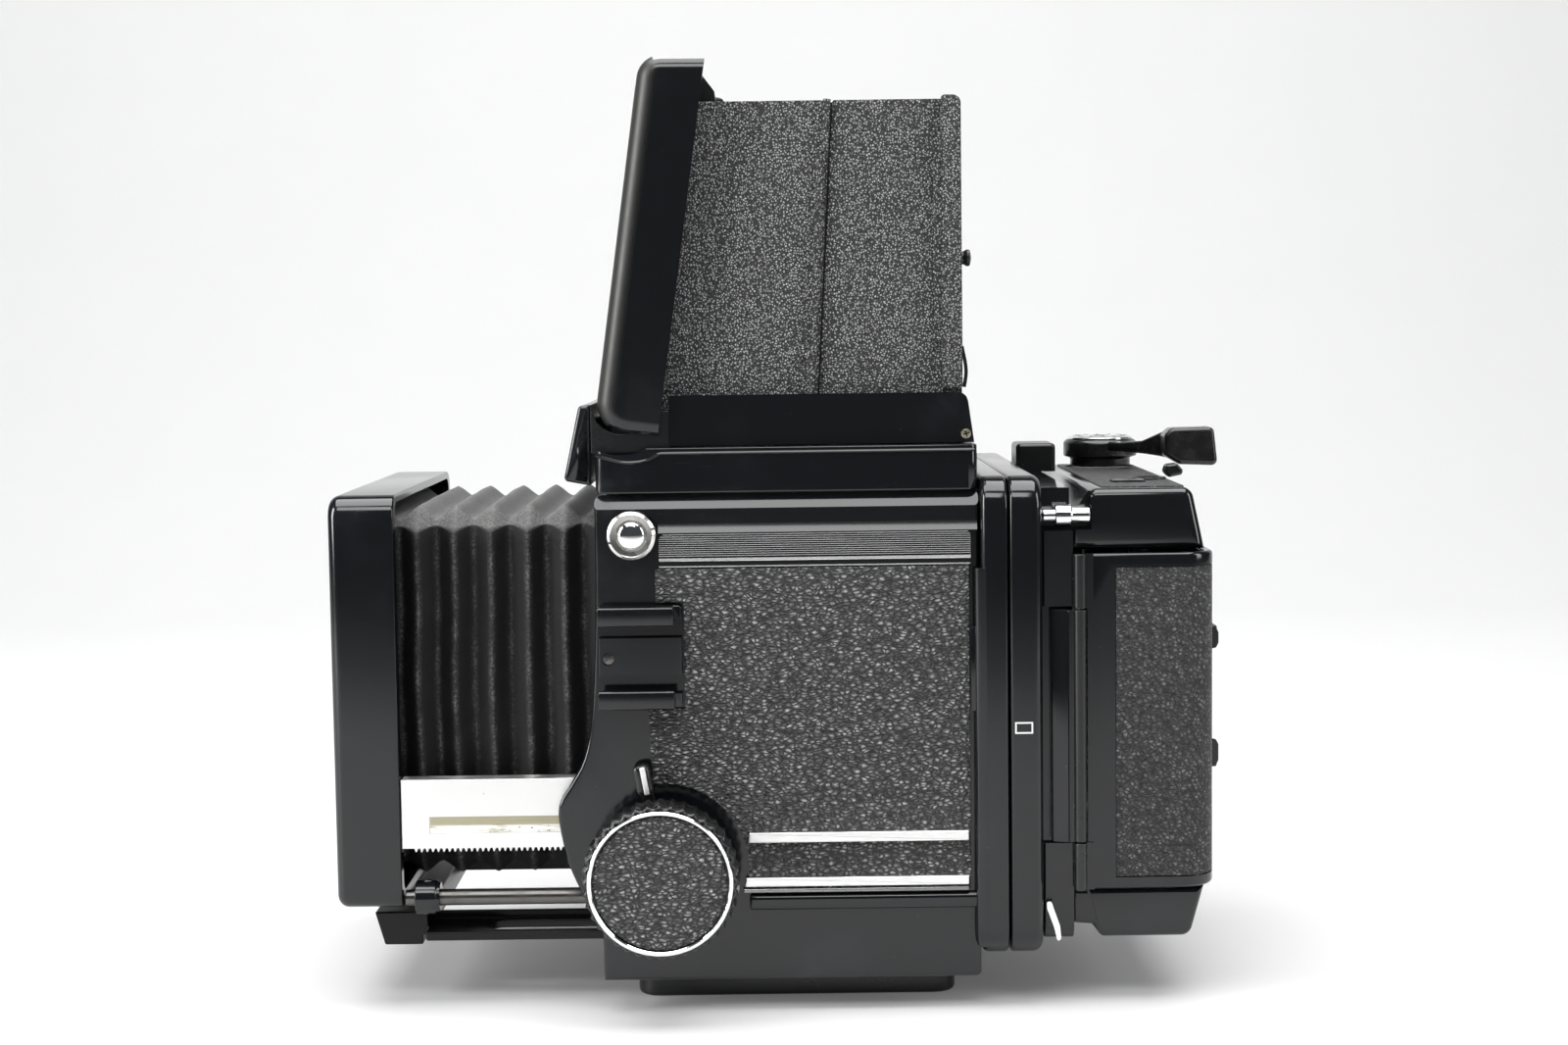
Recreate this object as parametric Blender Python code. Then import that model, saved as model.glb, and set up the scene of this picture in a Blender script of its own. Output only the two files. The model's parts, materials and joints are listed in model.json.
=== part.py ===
"""Medium-format bellows reflex camera, body only, with its hood open and its bellows run out.

Row frame: origin at the centre of the tripod plate's lower face, +Z up, the optical axis along X.
The lens mount looks towards -X and the film magazine sits at +X; the camera's left side is -Y.
Lengths below are millimetres; every mesh is scaled to metres as it is made.
"""
import math

import bmesh
import bpy
from mathutils import Matrix, Vector

MM = 0.001
GAP = 0.3

# --- driving dimensions (mm) ---
BODY_FRONT, BODY_REAR = -42.4, 41.6
BODY_LOW, BODY_TOP = 7.4, 117.0
SHELL_HALF = 48.6
COVER_IN, COVER_OUT = 48.9, 51.4
SKIN_IN, SKIN_OUT = 51.7, 52.5
AXIS_Z = 66.15

PLATE_HALF_X, PLATE_HALF_Y, PLATE_TOP = 36.7, 38.0, 7.1
BUSH_X, BUSH_R, TRIPOD_THREAD_R = 12.0, 6.0, 3.2

FOCUS_TRAVEL = 46.0
STD_FRONT, STD_REAR = -102.4, -89.0
STD_LOW, STD_TOP, STD_HALF = 23.8, 117.4, 48.5
THROAT_R, FLANGE_R = 31.0, 37.5

BELLOWS_FRONT, BELLOWS_REAR = -98.2, -41.0
BELLOWS_HALF, BELLOWS_LOW, BELLOWS_TOP = 41.0, 29.0, 114.4
PLEAT, PLEAT_DEPTH, PLEATS = 4.2, 3.0, 14

KNOB_X, KNOB_Z, KNOB_R = -29.7, 33.1, 17.4
MODULE, PINION_TEETH = 0.4, 20
PITCH_R = MODULE * PINION_TEETH / 2
RACK_PITCH = math.pi * MODULE
RACK_Z = KNOB_Z + PITCH_R
BAR_TOP, BAR_FRONT, BAR_REAR = 53.2, -88.7, -22.0
BAR_IN, BAR_OUT = 43.3, 48.2
ROD_Y, ROD_Z, ROD_R = 44.9, 25.6, 1.85
BED_LOW, BED_TOP, BED_HALF = 15.3, 20.8, 44.0
RAIL_IN = 29.0            # inner edge of each of the bed's two rails

HINGE_X, HINGE_Z = -37.7, 137.0
LEAN = math.radians(8.0)
LID_S0, LID_S1 = -6.9, 77.1
LID_LOW, LID_CEIL, LID_TOP = -9.2, 2.3, 5.4
LID_HALF, LID_SKIN = 50.0, 1.2
LEAF_OUT, LEAF_THICK, LEAF_T = 45.0, 1.0, -4.0
LEAF_TOP, LEAF_LOW = 203.8, 133.6
SEAM_LOW_X, SEAM_HIGH_X = 6.5, 10.1
WALL_X, WALL_Z, WALL_THICK = 37.5, 129.9, 1.2
WALL_HALF = 43.4

BACK_HALF = 54.0
RING_FRONT, RING_REAR = 48.2, 55.6
MAG_FRONT, MAG_PLATE = 55.9, 62.6
DOOR_REAR, DOOR_LOW, DOOR_TOP = 94.8, 27.0, 102.7
DOOR_PIN_X, DOOR_PIN_Y = 63.9, -52.1
SPOOL_X, SPOOL_Y = 79.3, 35.5
LEVER_X, LEVER_Y = 79.5, 34.0


# --- outlines ---
def arc(cx, cy, r, start, stop, steps):
    """Points on a circle from start to stop degrees."""
    turn = [math.radians(start + (stop - start) * i / steps) for i in range(steps + 1)]
    return [(cx + r * math.cos(a), cy + r * math.sin(a)) for a in turn]


def circle(cx, cy, r, steps):
    return arc(cx, cy, r, 0.0, 360.0, steps)[:-1]


def box_outline(a0, a1, b0, b1):
    return [(a0, b0), (a1, b0), (a1, b1), (a0, b1)]


def rounded(points, radius, steps=3):
    """The outline with each corner replaced by an arc; radius is one number or one for each corner."""
    radii = radius if isinstance(radius, (list, tuple)) else [radius] * len(points)
    out = []
    for i, corner in enumerate(points):
        here = Vector(corner)
        back = Vector(points[i - 1]) - here
        ahead = Vector(points[(i + 1) % len(points)]) - here
        r = radii[i]
        if r <= 0:
            out.append(tuple(here))
            continue
        half = back.angle(ahead) / 2
        reach = min(r / math.tan(half), back.length * 0.49, ahead.length * 0.49)
        r = reach * math.tan(half)
        centre = here + (back.normalized() + ahead.normalized()).normalized() * (r / math.sin(half))
        first = here + back.normalized() * reach - centre
        last = here + ahead.normalized() * reach - centre
        sweep = first.angle_signed(last)
        for k in range(steps + 1):
            turned = Matrix.Rotation(-sweep * k / steps, 2) @ first
            out.append(tuple(centre + turned))
    return out


def inset(points, by):
    """The outline moved inwards by a small distance, for an outline that runs anticlockwise."""
    out = []
    count = len(points)
    for i in range(count):
        here = Vector(points[i])
        a = (here - Vector(points[i - 1])).normalized()
        b = (Vector(points[(i + 1) % count]) - here).normalized()
        na, nb = Vector((-a.y, a.x)), Vector((-b.y, b.x))
        side = (na + nb).normalized()
        out.append(tuple(here + side * by / max(0.4, side.dot(na))))
    return out


def anticlockwise(points):
    area = sum(p[0] * q[1] - q[0] * p[1] for p, q in zip(points, points[1:] + points[:1]))
    return points if area > 0 else points[::-1]


def place(axis, a, b, c):
    """(a, b) in the outline's plane and c along the axis, as a point of the row frame."""
    return {"X": (c, a, b), "Y": (a, c, b), "Z": (a, b, c)}[axis]


# --- solids ---
def finish(bm, name, material, pivot=(0.0, 0.0, 0.0)):
    """Turns a bmesh in millimetres into a named object in metres with its origin on the pivot."""
    bmesh.ops.recalc_face_normals(bm, faces=bm.faces)
    centre = Vector(pivot)
    for vert in bm.verts:
        vert.co = (vert.co - centre) * MM
    mesh = bpy.data.meshes.new(name)
    bm.to_mesh(mesh)
    bm.free()
    obj = bpy.data.objects.new(name, mesh)
    obj.location = centre * MM
    if material:
        mesh.materials.append(material)
    bpy.context.scene.collection.objects.link(obj)
    return obj


def loft(rings, cap=True):
    """A closed skin through rings that all hold the same number of points."""
    bm = bmesh.new()
    rows = [[bm.verts.new(p) for p in ring] for ring in rings]
    for low, high in zip(rows, rows[1:]):
        for i in range(len(low)):
            j = (i + 1) % len(low)
            bm.faces.new((low[i], low[j], high[j], high[i]))
    if cap:
        bm.faces.new(rows[0][::-1])
        bm.faces.new(rows[-1])
    return bm


def slab(outline, axis, low, high, edge_low=0.0, edge_high=0.0):
    """An outline extruded along an axis, with each end's edge rounded off in two steps."""
    points = anticlockwise(list(outline))
    layers = []
    if edge_low:
        layers += [(low, edge_low), (low + 0.29 * edge_low, 0.29 * edge_low)]
    layers += [(low + edge_low, 0.0), (high - edge_high, 0.0)]
    if edge_high:
        layers += [(high - 0.29 * edge_high, 0.29 * edge_high), (high, edge_high)]
    rings = []
    for level, by in layers:
        ring = inset(points, by) if by else points
        rings.append([place(axis, a, b, level) for a, b in ring])
    return loft(rings)


def lathe(profile, axis, centre, steps, wave=None):
    """Turns (radius, level) pairs about an axis; a profile whose ends are off the axis makes a ring."""
    closed = profile[0][0] > 0.01
    bm = bmesh.new()
    rows = []
    for r, level in profile:
        ring = []
        for i in range(steps):
            angle = 2 * math.pi * i / steps
            grown = r + (wave(angle, level) if wave else 0.0)
            a = centre[0] + grown * math.cos(angle)
            b = centre[1] + grown * math.sin(angle)
            if r <= 0.01:
                ring = [bm.verts.new(place(axis, centre[0], centre[1], level))] * steps
                break
            ring.append(bm.verts.new(place(axis, a, b, level)))
        rows.append(ring)
    pairs = list(zip(rows, rows[1:])) + ([(rows[-1], rows[0])] if closed else [])
    for low, high in pairs:
        for i in range(steps):
            j = (i + 1) % steps
            corners = [low[i], low[j], high[j], high[i]]
            kept = [v for k, v in enumerate(corners) if v not in corners[:k]]
            if len(kept) > 2:
                bm.faces.new(kept)
    return bm


def rod(axis, centre, r, low, high, steps=16):
    return slab(circle(centre[0], centre[1], r, steps), axis, low, high)


def combine(obj, others, operation):
    """Joins or cuts the object with each mesh in turn, then removes those meshes."""
    for bm in others:
        tool = finish(bm, obj.name + "_tool", None)
        step = obj.modifiers.new("step", "BOOLEAN")
        step.operation = operation
        step.solver = "EXACT"
        step.object = tool
        graph = bpy.context.evaluated_depsgraph_get()
        made = bpy.data.meshes.new_from_object(obj.evaluated_get(graph))
        obj.modifiers.clear()
        obj.data = made
        bpy.data.objects.remove(tool)
    return obj


def cut(obj, *others):
    return combine(obj, others, "DIFFERENCE")


def join(obj, *others):
    return combine(obj, others, "UNION")


def block(x0, x1, y0, y1, z0, z1):
    return slab(box_outline(x0, x1, y0, y1), "Z", z0, z1)


def sides():
    """The camera's left and right, as a name and the sign of Y."""
    return (("left", -1.0), ("right", 1.0))


def turned_bar(hub, tilt, ends):
    """A tapered bar leaning tilt degrees: ends are (distance from the hub, half width) at each end."""
    along = Vector((math.cos(math.radians(tilt)), math.sin(math.radians(tilt))))
    across = Vector((-along.y, along.x))
    (near, near_half), (far, far_half) = ends
    corners = ((near, -near_half), (far, -far_half), (far, far_half), (near, near_half))
    return [tuple(Vector(hub) + along * u + across * v) for u, v in corners]


def span(sign, inner, outer):
    """An interval of |Y| on one side, in rising order."""
    return tuple(sorted((sign * inner, sign * outer)))


# --- materials ---
def material(name, colour, metallic, roughness, alpha=1.0):
    made = bpy.data.materials.new(name)
    made.use_nodes = True
    shader = made.node_tree.nodes["Principled BSDF"]
    shader.inputs["Base Color"].default_value = (*colour, 1.0)
    shader.inputs["Metallic"].default_value = metallic
    shader.inputs["Roughness"].default_value = roughness
    shader.inputs["Alpha"].default_value = alpha
    return made


def palette():
    table = {
        "gloss_black": ((0.012, 0.013, 0.016), 0.0, 0.18),
        "satin_black": ((0.02, 0.02, 0.022), 0.0, 0.45),
        "crinkle_black": ((0.03, 0.03, 0.032), 0.0, 0.7),
        "leather": ((0.035, 0.035, 0.037), 0.0, 0.6),
        "bellows_cloth": ((0.02, 0.02, 0.021), 0.0, 0.85),
        "bright_alloy": ((0.8, 0.8, 0.8), 1.0, 0.35),
        "chrome": ((0.85, 0.86, 0.88), 1.0, 0.12),
        "steel": ((0.55, 0.55, 0.56), 1.0, 0.3),
        "ribbed_grey": ((0.2, 0.2, 0.21), 0.9, 0.35),
        "knob_black": ((0.02, 0.02, 0.022), 0.0, 0.35),
        "mirror": ((0.9, 0.92, 0.95), 1.0, 0.03),
        "spool": ((0.02, 0.02, 0.02), 0.0, 0.4),
    }
    made = {name: material(name, *values) for name, values in table.items()}
    made["screen_glass"] = material("screen_glass", (0.8, 0.82, 0.8), 0.0, 0.3, 0.6)
    made["lens_glass"] = material("lens_glass", (0.85, 0.9, 0.95), 0.0, 0.02, 0.35)
    return made


# --- body ---
def body_shell(mats):
    outline = rounded(box_outline(BODY_FRONT, BODY_REAR, BODY_LOW, BODY_TOP), [2.0, 2.0, 1.2, 1.2])
    shell = finish(slab(outline, "Y", -SHELL_HALF, SHELL_HALF), "body_shell", mats["satin_black"])
    chamber = [(-50, 39), (-22, 39), (-22, 28.5), (38.6, 28.5), (38.6, 106), (-50, 106)]
    cut(shell, slab(chamber, "Y", -37.0, 37.0))
    cut(shell, block(36, 50, -36.0, 36.0, AXIS_Z - 36.0, AXIS_Z + 36.0))
    cut(shell, block(-31.8, 34.8, -39.5, 39.5, 107.7, 125))
    cut(shell, block(-31.8, 34.8, -37.0, 37.0, 100, 110))
    cut(shell, block(-50, -39.0, -41.4, 41.4, 28.7, 114.8))
    cut(shell, block(-50, 10.5, -BED_HALF - GAP, BED_HALF + GAP, BED_LOW - GAP, BED_TOP + GAP))
    cut(shell, block(-50, -38.8, -39.0, 39.0, 12.7, 18))
    cut(shell, rod("Y", (KNOB_X, KNOB_Z), 2.3, -60, 60))
    for _, sign in sides():
        y0, y1 = span(sign, 43.0, 60.0)
        cut(shell, block(-50, 25.0, y0, y1, RACK_Z - 1.1, BAR_TOP + GAP))
        cut(shell, rod("Y", (KNOB_X, KNOB_Z), PITCH_R + 0.8, y0, y1, 24))
        cut(shell, rod("X", (sign * ROD_Y, ROD_Z), ROD_R + GAP, -50, 10.5))
        cut(shell, rod("X", (sign * ROD_Y, ROD_Z), 3.25, -50, -34.0))
    cut(shell, rod("X", (45.2, 12.0), 2.9, -50, -33.0, 20))
    return shell


def cheek_outline():
    """The side cover seen from the side: a swelling cheek at the front around the focusing knob."""
    front = [(-43.4, 7.4), (-43.9, 20.0), (-47.4, 26.0), (-50.6, 33.0), (-52.3, 39.5), (-53.2, 45.0)]
    front += [(-52.6, 48.5), (-50.2, 52.4), (-47.6, 57.0), (-45.9, 63.0), (-44.9, 71.0), (-44.2, 84.0)]
    front += [(-43.8, 98.0), (-43.8, 115.6), (-42.4, 117.0)]
    return front + [(41.0, 117.0), (41.6, 116.4), (41.6, 8.0), (41.0, 7.4)]


def side_covers(mats):
    for name, sign in sides():
        y0, y1 = span(sign, COVER_IN, COVER_OUT)
        edges = (0.7, 0.0) if sign < 0 else (0.0, 0.7)
        bm = slab(cheek_outline(), "Y", y0, y1, *edges)
        cover = finish(bm, "side_cover_" + name, mats["gloss_black"])
        b0, b1 = span(sign, 50.6, 53.0)
        bead = rounded(box_outline(b0, b1, 23.4, 27.0), 1.1, 2)
        join(cover, slab(bead, "X", -10.4, 41.2, 0.6, 0.0))
        t0, t1 = span(sign, 50.6, 53.2)
        join(cover, block(39.6, 41.4, t0, t1, 67.9, 86.9))
        cut(cover, rod("Y", (KNOB_X, KNOB_Z), 2.4, -60, 60))


def base_pieces(mats):
    outline = rounded(box_outline(-PLATE_HALF_X, PLATE_HALF_X, -PLATE_HALF_Y, PLATE_HALF_Y), 5.0, 4)
    plate = finish(slab(outline, "Z", 0.0, PLATE_TOP, 0.8, 0.0), "tripod_plate", mats["satin_black"])
    cut(plate, rod("Z", (BUSH_X, 0.0), BUSH_R + GAP, -5, 20, 28))
    profile = [(TRIPOD_THREAD_R, 0.2), (BUSH_R, 0.2), (BUSH_R, 6.9), (TRIPOD_THREAD_R, 6.9)]
    finish(lathe(profile, "Z", (BUSH_X, 0.0), 28), "tripod_bush", mats["steel"])


def leather_outline(left):
    """The side leather, cut back for the shoe on the left side and round the focusing knob."""
    knob = [(KNOB_X + 21.5 * math.cos(a), KNOB_Z + 21.5 * math.sin(a))
            for a in [math.radians(82 - 88 * i / 12) for i in range(13)]]
    points = [(39.3, 100.6)]
    if left:
        points += [(-30.4, 100.6), (-30.4, 93.1), (-23.9, 93.1), (-23.9, 69.3)]
        points += [(-30.6, 69.3), (-32.0, 62.0)]
    else:
        points += [(-30.4, 100.6), (-31.4, 62.0)]
    points += [(-32.2, 57.6)] + knob
    return points + [(-8.4, 27.9), (39.3, 27.9)]


def skins(mats):
    for name, sign in sides():
        y0, y1 = span(sign, SKIN_IN, SKIN_OUT)
        hide = finish(slab(leather_outline(sign < 0), "Y", y0, y1), "side_leather_" + name, mats["leather"])
        if sign > 0:
            cut(hide, rod("Y", (-8.0, 62.0), 11.6, 45, 60, 28))
        bar = rounded(box_outline(-29.5, 39.7, 100.9, 108.3), [0.5, 0.5, 1.0, 2.6], 4)
        strip = finish(slab(bar, "Y", y0, y1), "name_strip_" + name, mats["ribbed_grey"])
        p0, p1 = span(sign, 52.0, 53.0)
        join(strip, block(-29.3, 39.5, p0, p1, 101.1, 102.2))
    for name, low, high in (("trim_strip_upper", 38.9, 41.1), ("trim_strip_lower", 28.0, 30.6)):
        bm = slab(box_outline(-53.5, -52.8, low, high), "X", -9.6 if low > 30 else -7.9, 38.7)
        finish(bm, name, mats["chrome"])


def accessory_shoe(mats):
    half_out, half_slot, half_lip = 11.4, 9.3, 6.25
    mid = 81.2
    right = [(-51.7, half_out), (-57.6, half_out), (-57.6, half_lip)]
    right += [(-55.7, half_lip), (-55.7, half_slot), (-53.9, half_slot)]
    outline = [(y, mid + z) for y, z in right] + [(y, mid - z) for y, z in right[::-1]]
    shoe = finish(slab(outline, "X", -43.2, -24.7, 0.3, 0.3), "accessory_shoe", mats["satin_black"])
    cut(shoe, rod("Y", (-41.0, mid - 0.4), 1.3, -54.5, -53.2, 12))


def strap_lugs(mats):
    for name, sign in sides():
        levels = [(0.0, 51.7), (5.5, 51.7), (5.5, 53.6), (4.9, 54.2), (3.9, 54.2), (3.7, 53.2), (2.4, 53.2),
                  (2.4, 54.6), (3.1, 55.0), (3.1, 55.9), (2.6, 56.4), (0.0, 56.4)]
        profile = [(r, sign * level) for r, level in levels]
        finish(lathe(profile, "Y", (-35.5, 108.2), 28), "strap_lug_" + name, mats["chrome"])


def controls(mats):
    """The focus lock, the cocking lever and the shutter release with its collar."""
    bm = lathe([(3.0, -51.7), (8.0, -51.7), (8.0, -52.35), (3.0, -52.35)], "Y", (KNOB_X, KNOB_Z), 24)
    lock = finish(bm, "focus_lock_lever", mats["chrome"], (KNOB_X, -52.0, KNOB_Z))
    hub = (KNOB_X, KNOB_Z)
    arm = turned_bar(hub, 102.5, ((6.5, 1.4), (23.4, 1.4)))
    tab = turned_bar(hub, 102.5, ((18.3, 1.4), (23.4, 1.4)))
    join_world(lock, slab(arm, "Y", -52.35, -51.7))
    join_world(lock, slab(rounded(tab, 0.6, 2), "Y", -56.5, -52.0, 0.5, 0.0))

    px, pz = -8.0, 62.0
    bm = lathe([(0.0, 51.7), (10.8, 51.7), (10.8, 55.5), (9.6, 56.6), (0.0, 56.6)], "Y", (px, pz), 32)
    lever = finish(bm, "cocking_lever", mats["chrome"], (px, 54.0, pz))
    arm = turned_bar((px, pz), 50.0, ((6.0, 5.5), (46.0, 3.2)))
    join_world(lever, slab(rounded(arm, 2.0, 3), "Y", 53.4, 56.2, 0.4, 0.4))
    pad = turned_bar((px, pz), 50.0, ((38.0, 4.4), (50.0, 4.4)))
    join_world(lever, slab(rounded(pad, 2.4, 3), "Y", 54.0, 61.0, 0.0, 0.8))

    profile = [(0.0, -47.2), (1.6, -47.2), (2.2, -46.6), (2.2, -36.5), (0.0, -36.5)]
    finish(lathe(profile, "X", (45.2, 12.0), 20), "release_button", mats["chrome"], (-42.0, 45.2, 12.0))
    profile = [(2.55, -45.4), (3.2, -45.4), (3.4, -45.0), (3.4, -42.8), (2.55, -42.8)]
    bm = lathe(profile, "X", (45.2, 12.0), 24)
    collar = finish(bm, "release_collar", mats["steel"], (-44.0, 45.2, 12.0))
    join_world(collar, block(-45.3, -44.1, 44.7, 45.7, 15.1, 17.0))


def join_world(obj, bm):
    """Joins a mesh made in the row frame to an object whose origin is on its joint."""
    return combine_moved(obj, [bm], "UNION")


def combine_moved(obj, others, operation):
    centre = obj.location.copy()
    for vert in obj.data.vertices:
        vert.co += centre
    obj.location = (0.0, 0.0, 0.0)
    bpy.context.view_layer.update()
    combine(obj, others, operation)
    for vert in obj.data.vertices:
        vert.co -= centre
    obj.location = centre
    bpy.context.view_layer.update()
    return obj


# --- focusing carriage ---
def standard(mats):
    outline = rounded(box_outline(-STD_HALF, STD_HALF, STD_LOW, STD_TOP), [3.0, 3.0, 5.0, 5.0], 4)
    body = finish(slab(outline, "X", STD_FRONT, STD_REAR, 2.6, 0.5), "front_standard", mats["gloss_black"])
    cut(body, block(-98.5, -80, -45.2, 45.2, 27.2, 115.6))
    cut(body, rod("X", (0.0, AXIS_Z), FLANGE_R + GAP, -110, -90, 48))
    profile = [(THROAT_R, -102.2), (FLANGE_R - 0.4, -102.2), (FLANGE_R, -101.8)]
    profile += [(FLANGE_R, -98.9), (THROAT_R, -98.9)]
    finish(lathe(profile, "X", (0.0, AXIS_Z), 48), "lens_flange", mats["bright_alloy"])
    profile = [(28.0, -101.6), (30.7, -101.6), (30.7, -98.9), (28.0, -98.9)]
    bm = lathe(profile, "X", (0.0, AXIS_Z), 48)
    ring = finish(bm, "cocking_ring", mats["steel"], (-100.0, 0.0, AXIS_Z))
    for turn in (35.0, 155.0, 275.0):
        a = math.radians(turn)
        y, z = 29.3 * math.cos(a), AXIS_Z + 29.3 * math.sin(a)
        join_world(ring, rod("X", (y, z), 1.0, -102.1, -100.0, 10))


def bellows(mats):
    """An eight-sided folded tube, open at both ends, with an even wall."""
    rings = []
    levels = [(BELLOWS_FRONT, PLEAT_DEPTH)]
    levels += [(BELLOWS_FRONT + 0.5 + PLEAT * i, 0.0 if i % 2 else PLEAT_DEPTH) for i in range(1, PLEATS)]
    levels += [(BELLOWS_REAR, PLEAT_DEPTH / 2)]
    for wall, order in ((0.0, levels), (0.9, levels[::-1])):
        for x, deep in order:
            by = deep + wall
            half, low, high = BELLOWS_HALF - by, BELLOWS_LOW + by, BELLOWS_TOP - by
            c = 4.5 - 0.5 * by
            ring = [(half, low + c), (half, high - c), (half - c, high), (-half + c, high),
                    (-half, high - c), (-half, low + c), (-half + c, low), (half - c, low)]
            rings.append([(x, y, z) for y, z in ring])
    bm = loft(rings, cap=False)
    bm.verts.ensure_lookup_table()
    first, last = bm.verts[:8], bm.verts[-8:]
    for i in range(8):
        j = (i + 1) % 8
        bm.faces.new((last[i], last[j], first[j], first[i]))
    finish(bm, "bellows", mats["bellows_cloth"])


def rack_outline():
    """The bar seen from the side, with straight-flanked teeth along its lower edge."""
    low, tip = RACK_Z + 0.45, RACK_Z - 0.35
    points = [(BAR_REAR, BAR_TOP), (BAR_FRONT, BAR_TOP), (BAR_FRONT, low)]
    first = KNOB_X + RACK_PITCH * (round((BAR_FRONT + 3.0 - KNOB_X) / RACK_PITCH) + 0.5)
    count = int((BAR_REAR - 0.8 - first) / RACK_PITCH) + 1
    for i in range(count):
        mid = first + RACK_PITCH * i
        points += [(mid - 0.38, low), (mid - 0.12, tip), (mid + 0.12, tip), (mid + 0.38, low)]
    return points + [(BAR_REAR, low)]


def slides(mats):
    for name, sign in sides():
        y0, y1 = span(sign, BAR_IN, BAR_OUT)
        bar = finish(slab(rack_outline(), "Y", y0, y1), "rack_bar_" + name, mats["bright_alloy"])
        g0, g1 = span(sign, BAR_OUT - 0.35, BAR_OUT + 3.0)
        cut(bar, block(-82.5, -10.0, g0, g1, 40.9, 44.7))
        profile = [(0.0, -88.7), (ROD_R, -88.7), (ROD_R, -85.4), (3.0, -85.4), (3.0, -80.7), (ROD_R, -80.7),
                   (ROD_R, -36.5), (0.0, -36.5)]
        finish(lathe(profile, "X", (sign * ROD_Y, ROD_Z), 16), "guide_rod_" + name, mats["steel"])
    outline = [(-97.0, 20.8), (-94.8, 13.1), (-86.0, 13.1), (-86.0, 15.3), (-36.5, 15.3), (-36.5, 17.3)]
    outline += [(-84.6, 17.3), (-84.9, 20.8)]
    bed = finish(slab(outline, "Y", -BED_HALF, BED_HALF), "slide_bed", mats["satin_black"])
    cut(bed, block(-84.6, -40.5, -RAIL_IN, RAIL_IN, 5, 40))
    for _, sign in sides():
        y0, y1 = span(sign, 38.5, 60.0)
        cut(bed, block(-110, -84.6, y0, y1, 5, 40))
        y0, y1 = span(sign, RAIL_IN, RAIL_IN + 1.5)
        join(bed, block(-85.5, -37.5, y0, y1, 16.0, 19.0))
        y0, y1 = span(sign, 32.7, 41.5)
        slot = rounded(box_outline(-71.0, -42.0, y0, y1), 3.5, 4)
        cut(bed, slab(slot, "Z", 10.0, 30.0))


# --- focusing knobs ---
def pinion_outline():
    points = []
    for i in range(PINION_TEETH):
        mid = 90.0 + 360.0 * i / PINION_TEETH
        for off, r in ((-5.2, 3.5), (-1.9, 4.32), (1.9, 4.32), (5.2, 3.5)):
            a = math.radians(mid + off)
            points.append((KNOB_X + r * math.cos(a), KNOB_Z + r * math.sin(a)))
    return points


def knobs(mats):
    centre = (KNOB_X, KNOB_Z)
    bm = rod("Y", centre, 2.0, -52.3, 52.3, 20)
    shaft = finish(bm, "focus_shaft", mats["steel"], (KNOB_X, 0.0, KNOB_Z))
    for _, sign in sides():
        y0, y1 = span(sign, 43.4, 48.1)
        join_world(shaft, slab(pinion_outline(), "Y", y0, y1))
    flutes = 36

    def scallop(angle, level):
        if not 58.2 < abs(level) < 66.2:
            return 0.0
        return -0.55 * (0.5 - 0.5 * math.cos(flutes * angle))

    for name, sign in sides():
        side = [(0.0, 52.7), (11.5, 52.7), (11.5, 56.2), (16.2, 57.4), (KNOB_R, 58.6)]
        side += [(KNOB_R, 65.8), (16.9, 66.9), (16.3, 66.9), (16.3, 66.2), (0.0, 66.2)]
        profile = [(r, sign * level) for r, level in side]
        pivot = (KNOB_X, sign * 60.0, KNOB_Z)
        bm = lathe(profile, "Y", centre, flutes * 3, scallop)
        finish(bm, "focus_knob_" + name, mats["knob_black"], pivot)
        ring = [(15.05, 66.5), (16.0, 66.5), (16.0, 67.6), (15.8, 68.0), (15.2, 68.0), (15.05, 67.8)]
        profile = [(r, sign * level) for r, level in ring]
        finish(lathe(profile, "Y", centre, 48), "knob_ring_" + name, mats["chrome"], pivot)
        disc = [(0.0, 66.5), (14.75, 66.5), (14.75, 67.4), (14.4, 67.7), (0.0, 67.8)]
        profile = [(r, sign * level) for r, level in disc]
        finish(lathe(profile, "Y", centre, 48), "knob_disc_" + name, mats["leather"], pivot)


# --- mirror ---
def mirror_parts(mats):
    """The mirror, at 45 degrees from a pivot at the top rear of its chamber, and the film gate's flap."""
    pivot = Vector((34.4, 105.0))
    along = Vector((-1.0, -1.0)).normalized()
    up = Vector((-1.0, 1.0)).normalized()

    def strip(u0, u1, v0, v1):
        return [tuple(pivot + along * u + up * v) for u, v in ((u0, v0), (u1, v0), (u1, v1), (u0, v1))]

    centre = (pivot.x, 0.0, pivot.y)
    backing = slab(strip(1.0, 71.5, -3.4, -1.9), "Y", -35.5, 35.5)
    finish(backing, "mirror_frame", mats["satin_black"], centre)
    glass = slab(strip(2.5, 70.5, -1.6, 0.0), "Y", -34.5, 34.5)
    finish(glass, "mirror_glass", mats["mirror"], centre)
    flap = slab(rounded(box_outline(36.7, 38.0, 29.6, 99.0), 0.5, 2), "Y", -35.8, 35.8)
    finish(flap, "light_baffle", mats["satin_black"], (37.4, 0.0, 98.4))


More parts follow.
